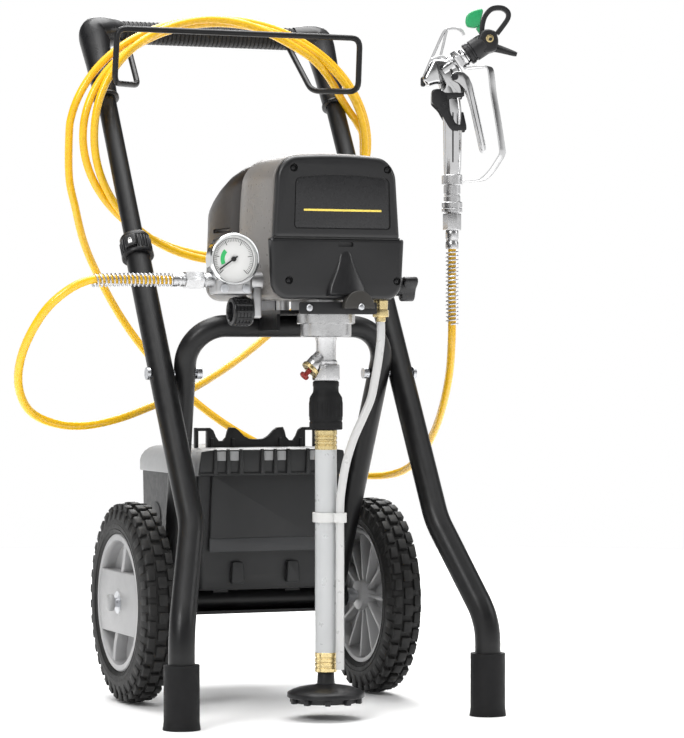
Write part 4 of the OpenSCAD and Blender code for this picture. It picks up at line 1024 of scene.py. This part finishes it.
bm = bmesh.new()
rings = [(99.2, 6), (99.2, 15.6), (100, 16.4)]
for k in range(5):
    x = 101 + k * 4.4
    rings += [(x, 17), (x + 2.6, 17), (x + 3.1, 16.1), (x + 4.0, 16.1)]
rings += [(123.4, 17), (124.4, 16.6), (125, 15.6), (125, 12.6), (124, 12), (118, 12), (118, 6)]
lathe(bm, rings, (0, -110, 502), (-1, 0, 0), 64, closed=True)
for k in range(12):
    a = 2 * math.pi * k / 12
    rib = [Vector((x, -110 + 16.7 * math.cos(a), 502 + 16.7 * math.sin(a)))
        for x in (-101, -103, -120, -122)]
    sweep(bm, rib, [0.6, 1.5, 1.5, 0.6], 8)
lathe(bm, [(117, 0), (117, 11.9), (119, 11.9), (119.6, 5), (119.6, 0)], (0, -110, 502), (-1, 0, 0), 40)
piece("selector_knob", bm, "prime_knob", SATIN, ("prime_knob",))

bm = bmesh.new()
knob = Matrix.Translation((96, -100, 535)) @ Matrix.Rotation(math.radians(90), 4, "Y")
prism(bm, lobes(3, 18.6, 10.4, 0.34, 12), 7, 25.6, 2.2, "xy")
lathe(bm, [(-14, 0), (-14, 9), (0, 9), (0.6, 11.4), (1.4, 12), (8, 12), (8, 0)], HERE, UP, 48)
lathe(bm, [(24, 0), (24, 8), (26, 7.2), (26.4, 5), (26.4, 0)], HERE, UP, 40)
lathe(bm, [(-26, 0), (-26, 5), (-12, 5), (-12, 0)], HERE, UP, 32)
piece("pressure_dial", bm, "pressure_knob", SATIN, ("pressure_knob",), knob)

# ---- toolbox ----

bm = bmesh.new()
skin(bm, [[(x, y, z) for x, y in rrect(x0, x1, y0, y1, r, 6)] for z, x0, x1, y0, y1, r in (
    (146, -92, 92, 97, 318, 8), (146.8, -94.4, 94.4, 94.6, 320.4, 9), (150, -96.6, 96.6, 92.4, 322.8, 10),
    (168, -97.4, 97.4, 91.4, 323.6, 10), (293.6, -99, 99, 90, 325, 8), (293.6, -96, 96, 93, 322, 6),
    (170, -94.4, 94.4, 94.4, 320.6, 7), (152, -94, 94, 95, 320, 7))])
piece("toolbox_tub", bm, "cart", BOX, ("toolbox",))
bm = bmesh.new()
prism(bm, rounded([(-85, 197), (85, 197), (81, 296), (-81, 296)], 4), 83, 92, 2.2)
piece("toolbox_front", bm, "cart", BOX)
bm = bmesh.new()
prism(bm, rounded([(-85.6, 196), (85.6, 196), (84.9, 214), (-84.9, 214)], 2), 81.9, 85, 1.0)
piece("toolbox_band", bm, "cart", BOX_BAND)
bm = bmesh.new()
for x in (-46, 30):
    foot = [(x - 9, 155), (x + 9, 155), (x + 7.4, 183), (x - 7.4, 183)]
    prism(bm, rounded(foot, 3), 82.6, 93, 1.6)
for side in (-1, 1):
    for y in (150, 262):
        arch = [(y - 20, 176), (y - 20, 214)] + [(y - 20 * math.cos(math.radians(t)),
            234 + 20 * math.sin(math.radians(t))) for t in range(0, 181, 15)]
        arch += [(y + 20, 214), (y + 20, 176)]
        prism(bm, arch, side * 98.4 - 1.2, side * 98.4 + 1.2, 0.9, "yz")
    for x in (54, 82):
        rbox(bm, (side * x - 4, 323, 285), (side * x + 4, 337, 299.2), 2)
    lathe(bm, [(50, 0), (50, 2.5), (86, 2.5), (86, 0)], (0, 332, 299), (side, 0, 0), 24)
    for x in (50, 78):
        lathe(bm, [(x, 0), (x, 5.4), (x + 0.6, 6), (x + 7.4, 6), (x + 8, 5.4), (x + 8, 0)], (0, 332, 299),
            (side, 0, 0), 32)
piece("toolbox_details", bm, "cart", BOX, sharp=50)

bm = bmesh.new()
skin(bm, [[(x, y, z) for x, y in rrect(x0, x1, y0, y1, r, 8)] for z, x0, x1, y0, y1, r in (
    (294.2, -99.6, 99.6, 82.4, 325.6, 9), (294.2, -102.4, 102.4, 79.6, 328.4, 11), (295.4, -103, 103, 79,
        329, 12),
    (308, -103, 103, 79, 329, 12), (314, -102, 102, 80, 328, 14), (320, -99, 99, 82, 325, 16),
    (325, -94, 94, 86, 319, 17), (328, -87, 87, 92, 311, 17), (329, -80, 80, 99, 303, 16))])
lid = piece("lid_top", bm, "box_lid", LID, ("toolbox_lid",))
bm = bmesh.new()
rbox(bm, (-99.2, 82.8, 286), (99.2, 325.2, 309), 8)
notches = [bm]
for side in (-1, 1):
    bm = bmesh.new()
    rbox(bm, (side * 68 - 19, 319, 288), (side * 68 + 19, 340, 306), 1)
    notches.append(bm)
carve(lid, *notches)
bm = bmesh.new()
for side in (-1, 1):
    lathe(bm, [(58.3, 0), (58.3, 5.4), (59, 6), (77, 6), (77.7, 5.4), (77.7, 0)], (0, 332, 299),
        (side, 0, 0), 32)
    rbox(bm, (side * 68 - 9.7, 318, 304.4), (side * 68 + 9.7, 335, 309.4), 1.2)
piece("lid_knuckles", bm, "box_lid", LID)
bm = bmesh.new()
flange = [(-102, 294.6), (102, 294.6), (97.4, 325.6), (84, 327.4), (-84, 327.4), (-97.4, 325.6)]
prism(bm, rounded(flange, 2), 76.2, 81, 1.0)
for x in (-80, -62.5, -45, -16, 2, 20, 47, 62.5, 80):
    taper = [(x - 3.2, 296), (x + 3.2, 296), (x + 1.6, 328.6), (x - 1.6, 328.6)]
    prism(bm, rounded(taper, 0.8), 72.3, 79, 1.0)
prism(bm, rounded([(-102, 294.4), (102, 294.4), (102, 298.6), (-102, 298.6)], 1), 74, 81, 1.0)
piece("lid_flange", bm, "box_lid", LID_DARK)
bm = bmesh.new()
for x0, x1 in ((-78, -65), (-60, -47.6), (-13.6, -0.6), (4.6, 17), (49.6, 60), (65, 78)):
    prism(bm, rrect(x0, x1, 313.6, 325.6, 1.4), 75.6, 78, 0.5)
piece("lid_windows", bm, "box_lid", LID)

bm = bmesh.new()
half = [(4, 339.4), (10, 340), (17, 343.6), (24, 350.6), (29, 354.4), (37.4, 355), (39.6, 350),
    (41.4, 342.4), (46, 337.6),
    (52, 337.4), (56, 343), (59.4, 351), (64, 354.6), (68.4, 354.6)]
profile = [(-x, z) for x, z in reversed(half)] + half
skin(bm, [[(x, y, z) for y, z in rrect(140.8, 147.2, 328, top, 1.2, 3)] for x, top in profile])
for side in (-1, 1):
    rbox(bm, (side * 74.5 - 8, 140.8, 350.4), (side * 74.5 + 8, 147.2, 354.6), 1.2)
for side in (-1, 1):
    rbox(bm, (side * 82.5 - 2.6, 140.8, 328.4), (side * 82.5 + 2.6, 147.2, 354.8), 1.2)
    for x in (33, 62):
        rbox(bm, (side * x - 2.2, 137.6, 329), (side * x + 2.2, 150.4, 341), 1.2)
piece("clip_rack", bm, "box_lid", BLACK, ("lid_rack",))

# ---- gun ----


def oval(cx, cy, rx, ry, z, n=40, power=2.4):
    """A rounded section across Z, a little squarer than an ellipse."""
    out = []
    for k in range(n):
        a = 2 * math.pi * k / n
        c, s = math.cos(a), math.sin(a)
        out.append((cx + rx * math.copysign(abs(c) ** (2 / power), c),
            cy + ry * math.copysign(abs(s) ** (2 / power), s), z))
    return out


def strip(bm, path, half_width, thick, skew=0.0):
    """A flat band along a path in the gun's XZ plane, its width across Y."""
    pts = smooth_path([(x, 0, z) for x, z in path], 5)
    sections = []
    for i, p in enumerate(pts):
        t = (pts[min(i + 1, len(pts) - 1)] - pts[max(i - 1, 0)]).normalized()
        n = Vector((t.z, 0, -t.x)) * thick / 2
        w = Vector((skew, half_width, 0))
        sections.append([p + n * a + w * b for a, b in ((1, -0.92), (0.75, -1), (-0.75, -1), (-1, -0.92),
            (-1, 0.92), (-0.75, 1), (0.75, 1), (1, 0.92))])
    skin(bm, sections)


bm = bmesh.new()
skin(bm, [oval(x, 0, rx, ry, z) for z, x, rx, ry in (
    (684, 0, 9.4, 9.4), (685, 0, 10.6, 10.6), (692, 0.4, 11.4, 11.6), (715, 0.6, 12, 12.4), (745, 0.6, 12.4,
        13),
    (768, 0.2, 12.4, 13), (780, -1, 12.2, 12.6), (790, -2.6, 12, 12), (800, -5, 12.4, 11.6), (808, -7, 13,
    11))])
piece("gun_handle", bm, "gun", POLISH, ("gun_body",), GUN_PLACE)
# near-black lines along the handle sides and the casting's edge: painted shade
bm = bmesh.new()
for side in (-1, 1):
    sweep(bm, [(0.6, side * 12.35, 700), (0.6, side * 12.75, 735), (0.6, side * 12.85, 765)],
        [0.9, 1.0, 0.9], 8)
    sweep(bm, [(7.4, side * 9.6, 700), (7.6, side * 10.3, 745), (6.6, side * 10.4, 765)], [0.7, 0.8, 0.7],
        8)
sweep(bm, smooth_path([(-2, -12, 821), (2, -13.2, 811), (9, -13.2, 803), (13.4, -12.4, 795),
    (14, -11.6, 786)], 4), 1.5, 10)
piece("gun_handle_shade_lines", bm, "gun", PAINTED_SHADE, (), GUN_PLACE)
bm = bmesh.new()
casting = [(-33, 799), (-38.6, 806), (-38, 811), (-27, 833), (-20, 836), (-8, 834), (6, 832), (12, 822),
    (14, 808),
    (15, 797), (13.6, 787), (8, 783), (-10, 783), (-19, 789), (-17, 796), (-12, 801), (-20, 803)]
prism(bm, rounded(casting, 5), -11.6, 11.6, 5.4, steps=5)
piece("gun_casting", bm, "gun", POLISH, (), GUN_PLACE, sharp=50)
bm = bmesh.new()
rbox(bm, (-41, -6.4, 799.4), (-34.6, 6.4, 812), 2.6, 4)
piece("gun_heel", bm, "gun", BLACK, (), GUN_PLACE)
bm = bmesh.new()
strip(bm, [(-38.6, 808), (-31, 826), (-22, 846), (-13, 866), (-7.6, 873.6), (0, 875.6), (7, 875),
    (12.6, 871.6), (15.4, 866.4)], 5.2, 3.4)
strip(bm, [(-16, 836), (-12.4, 850), (-8.8, 866), (-7, 872)], 4.4, 3.2)
strip(bm, [(-27, 834), (-16, 838), (-8, 835)], 6, 4)
piece("gun_hook", bm, "gun", POLISH, (), GUN_PLACE)
bm = bmesh.new()
strip(bm, [(18, 823), (30, 824.4), (44, 825.6), (49.4, 823), (51.6, 812), (54, 790), (60, 755), (65, 722),
    (65.4, 712), (60, 702),
    (52, 690), (43, 680.6), (36, 677.6), (24, 676.4), (9, 675.6)], 7.6, 2.2, 4.0)
piece("gun_guard", bm, "gun", POLISH, (), GUN_PLACE)
bm = bmesh.new()
lathe(bm, [(2, 0), (2, 12.6), (18, 13), (19.4, 11.6), (22, 11.6), (22, 0)], HERE, UP, 56)
prism(bm, hex_outline(14.2, 10), 22.2, 32, 1.6, "xy")
lathe(bm, [(32, 0), (32, 11.4), (33.4, 12.4), (36.4, 12.4), (37.8, 11.2), (39, 11.2), (40.4, 10.5),
    (54, 10.5), (54.2, 8), (64, 8), (64, 0)],
    HERE, UP, 56)
piece("gun_barrel", bm, "gun", POLISH, (), BARREL)
bm = bmesh.new()
lathe(bm, [(617, 0), (617, 7), (634.8, 7), (635, 12.6), (635.8, 13.5), (640, 13.5), (641, 12.6),
    (642, 13.5), (647.8, 13.5),
    (648.6, 12.8), (649.4, 11), (656, 11), (656.8, 10.2), (659, 10.2), (659.8, 11), (670.4, 11), (671,
    12.8), (671.8, 13.5),
    (683.4, 13.5), (684.4, 12.6), (684.4, 0)], HERE, UP, 56)
piece("gun_connector", bm, "gun", SILVER, (), GUN_PLACE)
bm = bmesh.new()
for side in (-1, 1):
    lathe(bm, [(12, 0), (12, 4.6), (17.2, 4.6), (18, 3.6), (18, 0)], (3, 0, 811), (0, side, 0), 32)
    lathe(bm, [(11, 0), (11, 1.6), (18.4, 1.6), (18.8, 1), (18.8, 0)], (-11, 0, 774), (0, side, 0), 24)
    lathe(bm, [(10.8, 0), (10.8, 4), (11.9, 3.4), (12.2, 0)], (-13, 0, 823), (0, side, 0), 28)
piece("gun_pins", bm, "gun", SCREW, (), GUN_PLACE)

bm = bmesh.new()
blade = [(-2, 808), (-0.6, 816), (6, 818.4), (14, 817.4), (21, 811), (26, 800), (34.2, 764), (43.6, 720),
    (42.6, 714.6), (39.6, 713.4),
    (36.6, 716), (31.4, 740), (24.4, 772), (18, 792), (9, 802)]
for side in (-1, 1):
    lo, hi = sorted((side * 13.7, side * 16.5))
    prism(bm, rounded(blade, 3), lo, hi, 0.9)
strip(bm, [(40.2, 717.4), (38.8, 724), (37.4, 731)], 14.2, 3.0)
piece("trigger_blades", bm, "gun_trigger", POLISH, ("gun_trigger",), GUN_PLACE)
# near-black lines along the trigger blades: painted shade on their edges
bm = bmesh.new()
for side in (-1, 1):
    for shift in (-2.6, 2.4):
        edge = [(23 + shift, side * 16.5, 796), (30.6 + shift, side * 16.6, 762),
            (39.6 + shift * 0.8, side * 16.5, 722)]
        sweep(bm, edge, [0.3, 0.55, 0.3], 8)
piece("trigger_edge_shade", bm, "gun_trigger", PAINTED_SHADE, (), GUN_PLACE)

bm = bmesh.new()
loop = [(-27, 790), (-23, 795), (-16, 795), (-11, 790), (14, 790), (14, 784), (-6, 783), (-5, 768),
    (4, 750), (10, 748),
    (11, 765), (14, 765), (18, 747), (18, 741), (-1, 741), (-5, 745), (-18, 768), (-27, 777)]
for side in (-1, 1):
    lo, hi = sorted((side * 17.15, side * 18.6))
    prism(bm, rounded(loop, 2.6), lo, hi, 0.6)
    lathe(bm, [(17.1, 1.7), (17.1, 4.4), (18.9, 4.4), (18.9, 1.7)], (-11, 0, 774), (0, side, 0), 28,
        closed=True)
rbox(bm, (-27, -17.6, 777), (-18.4, 17.6, 794.6), 3.4, 4)
piece("lock_lever", bm, "trigger_lock", SATIN, ("trigger_lock",), GUN_PLACE)

bm = bmesh.new()
lathe(bm, [(40.6, 10.6), (40.6, 13.4), (41.6, 14.6), (46, 14.6), (47, 13.4), (49, 13.4), (50, 14.6),
    (66, 14.6), (67.4, 13.4), (67.4, 10.6)],
    HERE, UP, 56, closed=True)
piece("guard_ring", bm, "tip_guard", BLACK, ("tip_guard",), BARREL)
bm = bmesh.new()
housing = [(31.6, 858), (37, 871), (46, 874), (57, 870.6), (60.4, 858), (58, 846), (46, 842.4), (36, 845)]
prism(bm, rounded(housing, 4), -13, 13, 3.2, steps=4)
strip(bm, [(38.6, 868), (39.6, 880), (43, 891), (50, 899.4), (58, 902), (67, 901), (73, 895.6), (72.6, 888),
    (66, 878), (58.6, 868.4)], 4.6, 6.4)
sweep(bm, smooth_path([(44, 0, 852), (56, 0, 850), (68, 0, 846.6), (80, 0, 842.8), (84.6, 0, 841.4)], 4),
    [7.6 - 0.29 * k for k in range(17)], 20, flat=0.8)
piece("guard_head", bm, "tip_guard", BLACK, (), GUN_PLACE, sharp=45)
bm = bmesh.new()
for side in (-1, 1):
    lathe(bm, [(12.6, 0), (12.6, 5.4), (13.6, 5), (13.8, 3.4), (13.2, 3), (13.2, 0)], (48.6, 0, 861),
        (0, side, 0), 36)
piece("guard_seat", bm, "tip_guard", BRASS, (), GUN_PLACE)
# near-black rings in the guard's bore: painted shade inside the hole
bm = bmesh.new()
for side in (-1, 1):
    lathe(bm, [(13.4, 0), (13.4, 2.4), (14, 2.2), (14.1, 0)], (49.6, 0, 860), (0, side, 0), 24)
piece("guard_bore_shade", bm, "tip_guard", PAINTED_SHADE, (), GUN_PLACE)
bm = bmesh.new()
key = [(19, 877), (17, 884), (18.6, 892), (25, 897.4), (33, 899.8), (38.6, 901), (40.6, 898), (39, 891),
    (37, 885),
    (36.6, 878), (29, 875.4)]
prism(bm, rounded(key, 3.4), -5.4, 5.4, 2.2, steps=4)
lathe(bm, [(0, 0), (0, 4), (22, 4), (22, 0)], (46.5, 0, 858.8), (-0.559, 0, 0.829), 28)
piece("tip_key", bm, "spray_tip", GREEN, ("spray_tip",), GUN_PLACE, sharp=50)

# ---- what the CAD shows as it is ----
LOOKS = {
    "frame_black": POWDER, "foot_rubber": RUBBER, "steel": STEEL, "black_plastic": BLACK, "grip_rubber": GRIP,
    "shell_taupe": SHELL, "cap_brown": CAP, "cover_charcoal": CHARCOAL, "screw_black": SCREW, "cast_metal": CAST,
    "stator_steel": STATOR, "pump_silver": SILVER, "brass": BRASS, "clear_hose": CLEAR, "box_black": BOX,
    "lid_grey": LID, "tyre": TYRE, "rim_grey": RIM, "switch_red": RED, "drive_steel": STEEL,
    "gun_silver": POLISH, "gun_black": BLACK, "tip_green": GREEN, "hose_yellow": HOSE,
}
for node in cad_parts.values():
    for holder in node.material_slots:
        was = holder.material.name.split(".")[0] if holder.material else ""
        holder.material = LOOKS.get(was, BLACK)
